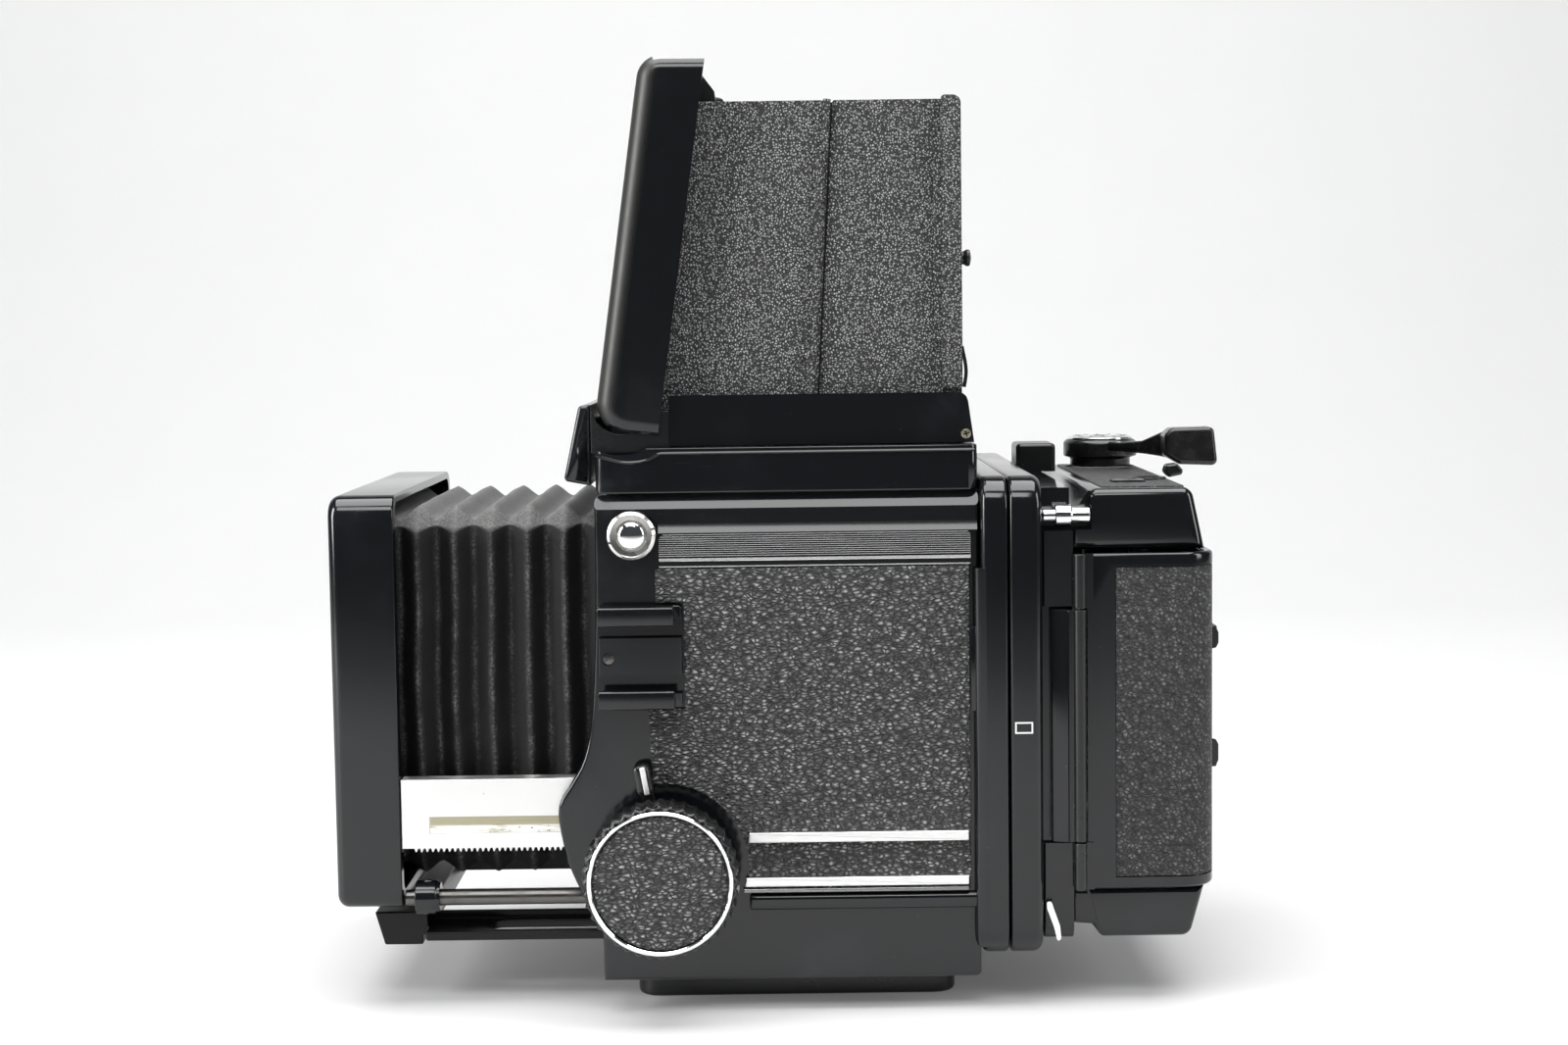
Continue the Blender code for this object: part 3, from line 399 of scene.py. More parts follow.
class Graph:
    """A short way to write a material's nodes: each call adds one and returns its first output."""

    def __init__(self, name):
        self.material = bpy.data.materials.new(name)
        self.material.use_nodes = True
        self.tree = self.material.node_tree
        self.shader = self.tree.nodes["Principled BSDF"]
        self.place = self.add("TexCoord").outputs["Object"]
        LOOKS[name] = self.material

    def add(self, kind, inputs=None, **settings):
        made = self.tree.nodes.new("ShaderNode" + kind)
        for key, value in settings.items():
            setattr(made, key, value)
        for key, value in (inputs or {}).items():
            self.put(made.inputs[key], value)
        return made

    def put(self, socket, value):
        if isinstance(value, bpy.types.NodeSocket):
            self.tree.links.new(value, socket)
        else:
            socket.default_value = value

    def set(self, **inputs):
        for key, value in inputs.items():
            self.put(self.shader.inputs[key.replace("_", " ")], value)

    def stretched(self, x, y, z):
        """Coordinates where one unit is x, y and z millimetres."""
        scale = (1 / (x * MM), 1 / (y * MM), 1 / (z * MM))
        return self.add("Mapping", {"Vector": self.place, "Scale": scale}).outputs[0]

    def noise(self, size, detail=2.0, rough=0.5, where=None):
        """Noise with features of the given size in millimetres."""
        at = where or self.stretched(size, size, size)
        made = self.add("TexNoise", {"Vector": at, "Scale": 1.0, "Detail": detail, "Roughness": rough})
        return made.outputs["Fac"]

    def cells(self, where, feature="F1"):
        return self.add("TexVoronoi", {"Vector": where, "Scale": 1.0}, feature=feature).outputs["Distance"]

    def math(self, operation, a, b=0.5, c=0.5):
        made = self.add("Math", operation=operation)
        for socket, value in zip(made.inputs, (a, b, c)):
            self.put(socket, value)
        return made.outputs[0]

    def times(self, a, b):
        return self.math("MULTIPLY", a, b)

    def plus(self, a, b):
        return self.math("ADD", a, b)

    def range(self, value, a, b, c=0.0, d=1.0):
        keys = {"Value": value, "From Min": a, "From Max": b, "To Min": c, "To Max": d}
        return self.add("MapRange", keys, interpolation_type="SMOOTHSTEP").outputs[0]

    def mix(self, factor, a, b):
        made = self.add("Mix", data_type="RGBA")
        for key, value in ((0, factor), (6, a), (7, b)):
            self.put(made.inputs[key], value)
        return made.outputs[2]

    def blend(self, factor, a, b):
        made = self.add("Mix", data_type="FLOAT")
        for key, value in ((0, factor), (2, a), (3, b)):
            self.put(made.inputs[key], value)
        return made.outputs[0]

    def bump(self, height, depth, strength=1.0):
        """A bump whose full height is depth millimetres."""
        keys = {"Height": height, "Distance": depth * MM, "Strength": strength}
        return self.add("Bump", keys).outputs[0]

    def warp(self, where, size, amount):
        """The coordinates pushed about by slow noise, so that rows wander."""
        push = self.add("TexNoise", {"Vector": where, "Scale": 1 / size, "Detail": 1.0}).outputs["Color"]
        centred = self.add("VectorMath", {0: push, 1: (-0.5, -0.5, -0.5)}, operation="ADD").outputs[0]
        scaled = self.add("VectorMath", {0: centred, "Scale": amount}, operation="SCALE").outputs[0]
        return self.add("VectorMath", {0: where, 1: scaled}, operation="ADD").outputs[0]

    def dust(self):
        """Sparse specks under a tenth of a millimetre across, 0 or 1."""
        near = self.cells(self.stretched(3.4, 3.4, 3.4))
        dots = self.math("LESS_THAN", near, 0.022)
        patch = self.math("GREATER_THAN", self.noise(26.0), 0.45)
        return self.times(dots, patch)


def shade(level, tint=(1.0, 1.0, 1.0)):
    return (level * tint[0], level * tint[1], level * tint[2], 1.0)


def paint(name, level, tint, rough, smear, peel, specks=0.6, gloss=0.5, smear_tone=0.018):
    """Sprayed enamel: orange peel, cloudy smears, hairline scuffs and dust."""
    g = Graph(name)
    clouds = g.range(g.noise(17.0, 5.0, 0.68), 0.48, 0.78)
    handled = g.range(g.noise(60.0, 2.0, 0.5), 0.42, 0.65)
    smudge = g.times(clouds, handled)
    spots = g.times(g.dust(), specks)
    scuffs = g.range(g.noise(1.0, 3.0, 0.6, g.stretched(14.0, 9.0, 0.35)), 0.66, 0.8, 0.0, 0.5)
    colour = g.mix(smudge, shade(level, tint), shade(smear_tone, tint))
    colour = g.mix(g.times(scuffs, handled), colour, shade(0.05, tint))
    colour = g.mix(spots, colour, shade(0.3))
    fine = g.bump(g.noise(1.3, 2.0), peel, 0.4)
    g.set(Base_Color=colour, Specular_IOR_Level=gloss, Normal=fine)
    g.set(Roughness=g.blend(smudge, rough, rough + smear))
    return g, colour


def lid_paint(tint):
    """Gloss paint, rubbed dull over the lid's outer face, which also carries a painted olive-grey reflection
    of the pale backdrop.
    """
    g, colour = paint("lid_black", 0.0055, tint, 0.14, 0.14, 0.01)
    at = g.add("SeparateXYZ", {0: g.place}).outputs
    cos, sin = math.cos(LEAN), math.sin(LEAN)
    hinge = LID_HINGE[1] * sin - LID_HINGE[0] * cos
    across = g.math("MULTIPLY_ADD", at["X"], -cos, g.times(at["Z"], sin))
    outer = g.range(across, (hinge + 0.4) * MM, (hinge + 3.0) * MM)
    rubbed = g.blend(g.noise(3.0, 4.0, 0.6), 0.34, 0.5)
    # painted reflection: the outer face's rounding is coloured olive-grey, standing in for the blurred
    # backdrop it reflects
    g.set(Base_Color=g.mix(outer, colour, shade(0.016, (1.0, 1.0, 0.9))))
    g.set(Roughness=g.blend(outer, 0.14, rubbed))


def crinkle():
    """Wrinkle-finish paint: small hard grains, with painted highlights on their tops and painted shade in the
    creases between them.
    """
    g = Graph("crinkle_black")
    where = g.warp(g.stretched(0.52, 0.52, 0.6), 1.3, 0.9)
    crease = g.range(g.cells(where, "DISTANCE_TO_EDGE"), 0.0, 0.22)
    grain = g.range(g.cells(where), 0.05, 0.7, 1.0, 0.0)
    body = g.plus(g.times(crease, 0.4), g.times(grain, 0.5))
    height = g.plus(body, g.times(g.noise(0.4, 2.0, 0.6), 0.4))
    painted_grain_light = g.range(height, 0.6, 1.08)
    # painted light: the colour follows grain height, dark in the creases and bright on the tops
    g.set(Base_Color=g.mix(painted_grain_light, shade(0.003), shade(0.36, (0.98, 1.0, 1.0))))
    g.set(Roughness=g.blend(painted_grain_light, 0.6, 0.28), Normal=g.bump(height, 0.45))


def hide(name, length, across, level, deep, warped=1.0):
    """Embossed leatherette: pebbles longer than they are tall, with painted shade in the creases and worn,
    shining tops that also carry painted highlights.
    """
    g = Graph(name)
    where = g.warp(g.stretched(length, length, across), 1.6, warped)
    crease = g.range(g.cells(where, "DISTANCE_TO_EDGE"), 0.0, 0.2)
    dome = g.range(g.cells(where), 0.0, 0.72, 1.0, 0.0)
    body = g.plus(g.times(crease, 0.55), g.times(dome, 0.45))
    height = g.plus(body, g.times(g.noise(0.45, 3.0, 0.6), 0.3))
    uneven = g.range(g.noise(1.5, 2.0), 0.35, 0.65, 0.3, 1.5)
    # worn marks the pebble tops: real wear in the roughness, painted highlights in the colour; skin darkens
    # the colour towards the creases as painted shade
    worn = g.times(g.range(height, 0.84, 1.12), uneven)
    skin = g.times(g.range(height, 0.3, 0.9, 0.05, 1.0), uneven)
    grey = g.plus(g.times(skin, level), g.times(worn, level * 3.0))
    g.set(Base_Color=g.add("CombineColor", {0: grey, 1: grey, 2: grey}).outputs[0])
    g.set(Roughness=g.blend(worn, 0.5, 0.24), Normal=g.bump(height, deep))


def bellows_cloth():
    """Coated cloth with a fine dull grain, dust on its fold lines, and its upper faces made lighter by
    settled dust and painted top light.
    """
    g = Graph("bellows_cloth")
    ridge = g.add("Attribute", attribute_name="ridge").outputs["Fac"]
    grain = g.noise(0.5, 3.0, 0.7)
    patchy = g.range(g.noise(6.0, 3.0, 0.6), 0.35, 0.68, 0.3, 1.0)
    specks = g.range(g.noise(0.7, 2.0, 0.7), 0.42, 0.64, 0.25, 1.0)
    facing = g.add("SeparateXYZ", {0: g.add("NewGeometry").outputs["Normal"]}).outputs["Z"]
    # upper faces: settled dust, and painted top light that makes faces turned up lighter than faces turned
    # down
    dust_and_top_light = g.times(g.range(facing, 0.25, 0.9), g.range(grain, 0.35, 0.65, 0.5, 1.0))
    dusty = g.times(g.times(ridge, patchy), specks)
    cloudy, dust_tint = g.range(g.noise(14.0, 3.0), 0.5, 0.75, 0.0, 0.4), (1.0, 1.0, 0.99)
    colour = g.mix(cloudy, shade(0.003), shade(0.01, (1.0, 0.99, 0.96)))
    colour = g.mix(dusty, colour, shade(0.13, dust_tint))
    colour = g.mix(dust_and_top_light, colour, shade(0.16, dust_tint))
    g.set(Base_Color=colour, Roughness=g.blend(dusty, 0.62, 0.85), Normal=g.bump(grain, 0.2))
    g.set(Specular_IOR_Level=0.26)


def metal(name, level, tint, rough, brush, depth, stain=0.0):
    """Metal: fine brush marks along one direction, small nicks and dull patches."""
    g = Graph(name)
    lines = g.noise(1.0, 3.0, 0.65, g.stretched(*brush))
    dull = g.range(g.noise(6.0, 3.0), 0.45, 0.75)
    pits = g.math("LESS_THAN", g.cells(g.stretched(5.0, 5.0, 5.0)), 0.03)
    colour = g.mix(g.times(dull, stain), shade(level, tint), shade(level * 0.55, (1.0, 0.95, 0.85)))
    colour = g.mix(g.times(pits, 0.5), colour, shade(level * 0.25))
    g.set(Base_Color=colour, Metallic=1.0, Normal=g.bump(lines, depth, 0.6))
    g.set(Roughness=g.blend(dull, rough, rough * 1.6 + 0.03))


def ribs():
    """Grey ribbed metal, dark in its grooves and bright on its rib tops."""
    g = Graph("rib_metal")
    out = g.math("ABSOLUTE", g.add("SeparateXYZ", {0: g.place}).outputs["Y"])
    top = g.range(out, 52.22 * MM, 52.46 * MM)
    worn = g.range(g.noise(1.0, 3.0, 0.6, g.stretched(12.0, 2.0, 0.6)), 0.3, 0.7, 0.75, 1.0)
    g.set(Base_Color=g.mix(g.times(top, worn), shade(0.012), shade(0.8)))
    g.set(Metallic=0.75, Roughness=g.blend(worn, 0.34, 0.24), Normal=g.bump(worn, 0.01, 0.5))


def scale_band():
    """The painted distance scale on the rack bar: olive lacquer, partly rubbed through."""
    g = Graph("scale_band")
    rows = g.add("SeparateXYZ", {0: g.place}).outputs
    lower = g.range(rows["Z"], 42.4 * MM, 43.0 * MM, 1.0, 0.0)
    front = g.range(rows["X"], -82.5 * MM, -82.2 * MM, 1.0, 0.0)
    streaks = g.noise(1.0, 4.0, 0.7, g.stretched(9.0, 2.0, 0.7))
    worn = g.math("MAXIMUM", g.times(lower, g.range(streaks, 0.30, 0.52)), front)
    olive = g.mix(streaks, shade(0.30, (1.0, 0.92, 0.6)), shade(0.42, (1.0, 0.93, 0.66)))
    spots = g.range(g.noise(0.8, 3.0, 0.7), 0.62, 0.7)
    colour = g.mix(worn, olive, g.mix(front, shade(0.85, (1.0, 0.99, 0.95)), shade(0.52, (1.0, 0.94, 0.74))))
    colour = g.mix(g.times(spots, lower), colour, shade(0.12, (1.0, 0.9, 0.7)))
    g.set(Base_Color=colour, Metallic=0.25, Roughness=0.42, Normal=g.bump(streaks, 0.02, 0.5))


def plastic(name, level, rough, grain=0.25):
    """Moulded plastic: a soft fine grain and handling marks."""
    g, tint = Graph(name), (1.0, 1.0, 1.02)
    handled = g.range(g.noise(4.0, 3.0), 0.4, 0.7)
    g.set(Base_Color=g.mix(handled, shade(level, tint), shade(level * 1.7, tint)))
    g.set(Roughness=g.blend(handled, rough, rough + 0.14), Normal=g.bump(g.noise(grain, 2.0), 0.012, 0.7))


def glass():
    g = Graph("lens_glass")
    smudge = g.range(g.noise(7.0, 3.0), 0.5, 0.8, 0.01, 0.08)
    g.set(Base_Color=shade(1.0), Roughness=smudge, Transmission_Weight=1.0, IOR=1.52)
    g = Graph("screen_glass")
    radius = g.add("VectorMath", {0: g.place, 1: (1.0, 1.0, 0.0)}, operation="MULTIPLY").outputs[0]
    away = g.add("VectorMath", {0: radius}, operation="LENGTH").outputs["Value"]
    rings = g.math("SINE", g.times(away, 2 * math.pi / (0.5 * MM)))
    g.set(Base_Color=shade(0.5, (0.97, 1.0, 0.98)), Roughness=0.38, Normal=g.bump(rings, 0.02, 0.5))
    g.set(Transmission_Weight=0.35, IOR=1.49)


def mirror_silver():
    g = Graph("mirror")
    haze = g.range(g.noise(14.0, 4.0), 0.45, 0.75, 0.02, 0.1)
    spots = g.range(g.noise(1.0, 2.0), 0.68, 0.75, 0.0, 0.3)
    g.set(Base_Color=g.mix(spots, shade(0.88, (0.98, 1.0, 1.0)), shade(0.4)), Metallic=1.0, Roughness=haze)


def flat_paint(name, colour, rough):
    """A filled-in mark, slightly uneven."""
    g = Graph(name)
    uneven = g.noise(0.6, 3.0)
    g.set(Base_Color=g.mix(uneven, colour, tuple(c * 0.8 for c in colour[:3]) + (1.0,)))
    g.set(Roughness=rough, Normal=g.bump(uneven, 0.01, 0.5))


def make_looks():
    blue = (0.86, 0.98, 1.16)
    paint(GLOSS, 0.0055, blue, 0.12, 0.14, 0.008)
    paint(SATIN, 0.008, (0.95, 1.0, 1.05), 0.26, 0.08, 0.012, 0.3, 0.5, 0.012)
    paint("deep_black", 0.003, (1.0, 1.0, 1.0), 0.6, 0.1, 0.03, 0.0, 0.25, 0.004)
    lid_paint(blue)
    paint("bed_black", 0.004, (1.0, 1.0, 1.0), 0.3, 0.08, 0.012, 0.3, 0.25, 0.008)
    crinkle()
    hide("leather", 1.5, 0.8, 0.058, 0.5)
    hide("fine_leather", 1.05, 0.85, 0.026, 0.3, 0.7)
    hide("cap_leather", 0.7, 0.7, 0.04, 0.2, 0.5)
    bellows_cloth()
    metal("bright_alloy", 0.93, (1.0, 1.0, 0.99), 0.34, (30.0, 0.1, 0.14), 0.006)
    metal("chrome", 0.86, (0.99, 1.0, 1.0), 0.07, (3.0, 3.0, 3.0), 0.001, 0.1)
    metal("nickel", 0.62, (1.0, 0.985, 0.95), 0.22, (1.0, 1.0, 1.0), 0.006, 0.2)
    metal("steel", 0.42, (1.0, 0.98, 0.95), 0.27, (12.0, 0.2, 0.2), 0.01, 0.35)
    metal("dark_steel", 0.13, (1.0, 0.97, 0.92), 0.3, (12.0, 0.2, 0.2), 0.01, 0.35)
    metal("ribbed_grey", 0.30, (1.0, 1.0, 1.0), 0.26, (20.0, 0.3, 0.15), 0.004, 0.2)
    metal("brass", 0.42, (1.0, 0.9, 0.66), 0.34, (1.0, 1.0, 1.0), 0.01, 0.5)
    ribs()
    scale_band()
    plastic("knob_black", 0.008, 0.22)
    plastic("lever_black", 0.006, 0.18)
    plastic("spool", 0.012, 0.34)
    plastic("flock", 0.004, 0.9, 0.2)
    glass()
    mirror_silver()
    flat_paint("white_paint", shade(0.85), 0.45)
    flat_paint("red_paint", (0.55, 0.03, 0.02, 1.0), 0.4)


# ---------------------------------------------------------------- bellows and focusing carriage
BELLOWS_FOLDS = 13           # crests and valleys between the two ends
FOLD_STEPS = 8               # rings between one fold line and the next
FOLD_DEPTH = 3.0             # from a crest down to a valley
FRONT_LAP, REAR_LAP = 0.5, 2.1   # plain cloth before the first fold and after the last


def ease(t):
    """A fold's flank: part straight, part rounded off at the crest and the valley."""
    return 0.45 * t + 0.55 * (0.5 - 0.5 * math.cos(math.pi * t))


def bellows_levels(front, rear):
    """(x, depth below the crest, closeness to a fold line) for each ring, front to rear."""
    pleat = (rear - front - FRONT_LAP - REAR_LAP) / BELLOWS_FOLDS
    lines = [(front, 1.0)]
    lines += [(front + FRONT_LAP + pleat * i, 0.0 if i % 2 else 1.0) for i in range(1, BELLOWS_FOLDS + 1)]
    lines.append((rear, 0.5))
    out = []
    for (xa, da), (xb, db) in zip(lines, lines[1:]):
        for k in range(FOLD_STEPS):
            t = k / FOLD_STEPS
            near = max(0.0, 1 - 5.0 * min(t, 1 - t))
            crest = (1 - da) if t < 0.5 else (1 - db)
            out.append((xa + (xb - xa) * t, da + (db - da) * ease(t), near * (0.62 + 0.38 * crest)))
    return out + [(rear, lines[-1][1], 0.0)]


def bellows_ring(half, low, high, corner, along, around):
    """Points round one ring, starting at the middle of the right side: long sides and corner facets."""
    bottom, top, near = low + corner, high - corner, half - corner
    corners = [(half, bottom), (half, top), (near, high), (-near, high),
               (-half, top), (-half, bottom), (-near, low), (near, low)]
    out = []
    for i, start in enumerate(corners):
        a, b = Vector(start), Vector(corners[(i + 1) % 8])
        steps = along if i % 2 == 0 else around
        out += [a.lerp(b, k / steps) for k in range(steps)]
    return out


def bellows():
    """A folded tube with soft fold lines, corner facets that open at each crest, and an inner skin."""
    lo, hi = box("bellows")
    levels = bellows_levels(lo.x, hi.x)
    wall, middle_z = 0.7, (lo.z + hi.z) / 2
    rings, ridges = [], []
    for skin, order in ((0.0, levels), (wall, levels[::-1])):
        for x, deep, near in order:
            by = deep * FOLD_DEPTH + skin + 0.15
            corner = 1.6 + 4.6 * (1 - deep)
            flat = bellows_ring(hi.y - by, lo.z + by, hi.z - by, corner, 26, 4)
            ring = []
            for y, z in flat:
                free = min(1.0, min(x - lo.x, hi.x - x) / 6.0)
                sag = noise.noise(Vector((x * 0.05, y * 0.035, z * 0.035))) * 0.55 * free
                slip = noise.noise(Vector((y * 0.045 + 7.0, z * 0.045, x * 0.02))) * 0.7 * free
                away = Vector((y, z - middle_z)).normalized() * abs(sag)
                ring.append((x + slip, y - away.x, z - away.y))
                ridges.append(near if skin == 0.0 else 0.0)
            rings.append(ring)
    obj = as_object(loft(rings, loop=True), "bellows_folds")
    mark = obj.data.attributes.new("ridge", "FLOAT", "POINT")
    mark.data.foreach_set("value", ridges)
    dress(obj, BODY, "bellows_cloth", "bellows", crease=70.0)
    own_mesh(obj)


def front_standard():
    """A cast frame whose rounded rim stands a little in front of the plate round the lens seat."""
    lo, hi = box("front_standard")
    rim = lo.x - 1.5
    outline = rounded(oblong(lo.y, hi.y, lo.z, hi.z), [3.2, 3.2, 5.0, 5.0], 8)
    obj = as_object(slab(outline, "X", rim, hi.x, 2.6, 0.5, 8), "front_standard_casting")
    face = rounded(oblong(-43.0, 43.0, lo.z + 5.5, hi.z - 5.5), 7.0, 8)
    centre = middle("lens_flange")
    radius = (box("lens_flange")[1].z - centre.z) + 0.3
    inner = rounded(oblong(-45.2, 45.2, 27.2, 115.6), 3.0, 5)
    cut(obj, slab(face, "X", rim - 5, lo.x), slab(inner, "X", -98.5, -80.0))
    cut(obj, rod("X", (0.0, centre.z), radius, -110, -90, 128))
    dress(obj, CARRIAGE, GLOSS, "front_standard", bevel=0.3)
    corners = [(y, z) for z in (34.0, 107.2) for y in (-38.6, 38.6)]
    for i, (y, z) in enumerate(corners):
        screw(f"standard_screw_{i + 1}", CARRIAGE, (lo.x + 0.05, y, z), "-X", 1.5)


def lens_mount():
    """The throat ring with its stepped seat, three bayonet slots and an index dot."""
    lo, hi = box("lens_flange")
    z = middle("lens_flange").z
    outer, inner = (hi.y - lo.y) / 2, 31.0
    steps = [(inner, lo.x + 0.9), (inner + 0.9, lo.x + 0.9), (inner + 0.9, lo.x + 0.25), (34.2, lo.x + 0.25),
             (34.2, lo.x), (outer - 0.3, lo.x), (outer, lo.x + 0.3), (outer, hi.x), (inner, hi.x)]
    slots = []
    for turn in (30.0, 150.0, 270.0):
        gap = oblong(inner - 2, inner + 1.6, turn - 11, turn + 11)
        points = [(r * math.cos(math.radians(a)), z + r * math.sin(math.radians(a))) for r, a in gap]
        slots.append(slab(points, "X", lo.x - 1, lo.x + 2.0))
    piece(lathe(turned(steps, 0.12, 3), "X", (0.0, z), 160), "lens_seat", CARRIAGE, "bright_alloy",
          "lens_flange", slots)
    for i in range(6):
        a = math.radians(60.0 * i)
        at = (lo.x - 0.05, 36.0 * math.cos(a), z + 36.0 * math.sin(a))
        screw(f"seat_screw_{i + 1}", CARRIAGE, at, "-X", 0.75, depth=0.15)
    dot = turned([(0.0, lo.x + 0.1), (1.3, lo.x + 0.1), (1.3, lo.x - 0.12), (0.0, lo.x - 0.15)], 0.1)
    piece(lathe(dot, "X", (0.0, z + 42.5), 24), "mount_index", CARRIAGE, "red_paint")
    rework("cocking_ring", "steel", 0.12)


def slides():
    """Rack bars with a scale band, guide rods with a collar, corner wires and the open bed."""
    r = 1.85
    for name, sign in SIDES:
        rework("rack_bar_" + name, "bright_alloy", 0.05, segments=2)
        band = rounded(oblong(-88.6, -22.3, 41.0, 44.9), 0.3, 2)
        piece(side_slab(band, sign, 47.8, 48.1), "scale_band_" + name, CARRIAGE, "scale_band")
        front = rounded(oblong(-93.5, -88.4, 36.6, 39.6), 0.4, 2)
        piece(side_slab(front, sign, 43.6, 47.6), "rack_foot_" + name, CARRIAGE, SATIN, bevel=0.1)
        node = "guide_rod_" + name
        lo, hi = box(node)
        _, y, z = middle(node)
        shaft = turned([(0.0, lo.x), (r, lo.x), (r, hi.x), (0.0, hi.x)], 0.3)
        piece(lathe(shaft, "X", (y, z), 40), "guide_shaft_" + name, CARRIAGE, "dark_steel", node)
        bore = r + 0.02
        sleeve = [(bore, -86.2), (3.9, -86.2), (3.9, -81.8), (3.5, -81.2), (3.5, -80.7), (bore, -80.7)]
        piece(lathe(sleeve, "X", (y, z), 48), "guide_collar_" + name, CARRIAGE, GLOSS, bevel=0.2)
        screw("collar_screw_" + name, CARRIAGE, (-83.6, y, z + 3.8), "Z", 0.9, depth=0.35)
        for i, (reach, low) in enumerate(((5.2, 25.4), (6.4, 24.0))):
            path = [(-98.4 + reach * math.sin(a), sign * (46.3 - i), low + (7.4 + i) * (1 - math.cos(a)))
                    for a in [math.pi / 2 * k / 8 for k in range(9)]]
            piece(tube(path, 0.28, 8), f"corner_wire_{name}_{i + 1}", CARRIAGE, "steel")
    rework("slide_bed", "bed_black", 0.45)


def focus_knobs():
    """Scalloped knobs with a polished ring and a leather disc, and the shaft between them."""
    rework("focus_shaft", "steel", 0.08, segments=2)
    flutes, body = 40, "focus_knobs"

    def scallop(angle, level):
        depth = 0.62 * max(0.0, min(1.0, (abs(level) - 57.6) / 1.6))
        return -depth * (0.5 - 0.5 * math.cos(flutes * angle)) ** 0.7

    for name, sign in SIDES:
        node = "focus_knob_" + name
        lo, hi = box(node)
        centre, outer = middle(node).xz, (hi.x - lo.x) / 2
        side = [(0.0, 52.7), (11.5, 52.7), (11.5, 56.2), (16.0, 57.2), (outer, 58.8), (outer, 65.6),
                (17.0, 66.6), (16.35, 66.9), (16.25, 66.4), (0.0, 66.3)]
        grip = side_lathe(turned(side, 0.5), sign, centre, flutes * 10, scallop)
        piece(grip, node + "_grip", body, "knob_black", node, crease=45)
        ring = [(15.05, 66.5), (15.05, 67.75), (15.3, 68.0), (15.8, 68.0), (16.0, 67.8), (16.0, 66.5)]
        piece(side_lathe(ring, sign, centre, 160), "knob_bright_ring_" + name, body, "chrome",
              "knob_ring_" + name, bevel=0.06, segments=2)
        disc = [(0.0, 66.5), (14.8, 66.5), (14.8, 67.3), (14.3, 67.6), (9.0, 67.74), (0.0, 67.8)]
        piece(side_lathe(turned(disc, 0.3), sign, centre, 128), "knob_leather_" + name, body, "leather",
              "knob_disc_" + name)


# ---------------------------------------------------------------- body
def side_covers():
    """Pressed side covers: a cheek round the focusing knob, a sloping top edge, a rim over the name strip."""
    for name, sign in SIDES:
        node = "side_cover_" + name
        lo, hi = box(node)
        front = [(-43.4, lo.z), (-43.9, 20.0), (-47.4, 26.0), (-50.6, 33.0), (-52.3, 39.5), (-53.1, 45.0)]
        front += [(-52.6, 48.5), (-50.2, 52.4), (-47.6, 57.0), (-45.9, 63.0), (-44.9, 71.0), (-44.2, 84.0)]
        front = flowing(front + [(-43.8, 98.0), (-43.8, 110.0)])
        corners = [(-43.8, hi.z), (hi.x, hi.z), (hi.x, lo.z)]
        outline = rounded(front + corners, [0.0] * len(front) + [1.6, 1.1, 1.1], 4)
        cover = as_object(side_slab(outline, sign, 48.9, 51.4, 0.9, 5), node + "_pressing")
        slope = [(sign * y, z) for y, z in ((52.5, 112.6), (52.5, 119.0), (47.6, 119.0), (51.4, 113.9))]
        cut(cover, slab(slope, "X", -60.0, 60.0))
        bead = rounded(oblong(*span(sign, 50.6, 53.0), 23.4, 27.0), 1.15, 5)
        join(cover, slab(bead, "X", -10.4, 41.2, 0.6, 0.0, 3))
        stop = rounded(oblong(*span(sign, 50.6, 53.2), 67.9, 86.9), 0.4, 2)
        join(cover, slab(stop, "X", 39.6, 41.4))
        rim = ((50.9, 108.5), (52.5, 108.5), (52.3, 109.0), (51.3, 110.6), (50.9, 110.6))
        join(cover, slab([(sign * y, z) for y, z in rim], "X", -29.6, 41.2))
        cut(cover, rod("Y", KNOB_CENTRE, 2.4, -60, 60))
        dress(cover, BODY, GLOSS, node, bevel=0.18, segments=2)


def body_pieces():
    """The shell with recesses for the guide collars and the release cap, and what is fixed to it."""
    recesses = [("guide_rod_" + name, 4.4, -34.0) for name, _ in SIDES] + [("release_button", 2.5, -32.0)]
    cuts = [rod("X", middle(node).yz, r, -60.0, deep, 48) for node, r, deep in recesses]
    piece(from_cad("body_shell"), "body_shell_surface", BODY, SATIN, "body_shell", cuts, bevel=0.3)
    rework("tripod_plate", SATIN, 0.5)
    rework("tripod_bush", "steel", 0.3)
    rework("side_leather_right", "leather", 0.22)
    skin = [(39.3, 100.6), (-30.4, 100.6), (-30.4, 93.1), (-24.2, 93.1), (-24.2, 69.3), (-32.4, 69.3)]
    skin += arc(*KNOB_CENTRE, 19.3, 96, -14, 24) + [(-10.6, 27.9), (39.3, 27.9)]
    piece(slab(skin, "Y", -52.5, -51.7), "side_leather_left_skin", BODY, "leather", "side_leather_left",
          bevel=0.2)
    trim_strips()
    accessory_shoe()
    pad = slab(rounded(oblong(-33.0, 33.0, -34.5, 34.5), 3.0), "Z", 0.02, 0.6, 0.25, 0.0, 3)
    hole = rod("Z", (middle("tripod_bush").x, 0.0), 7.4, -2.0, 4.0, 64)
    piece(pad, "base_pad", BODY, "cap_leather", cuts=[hole])


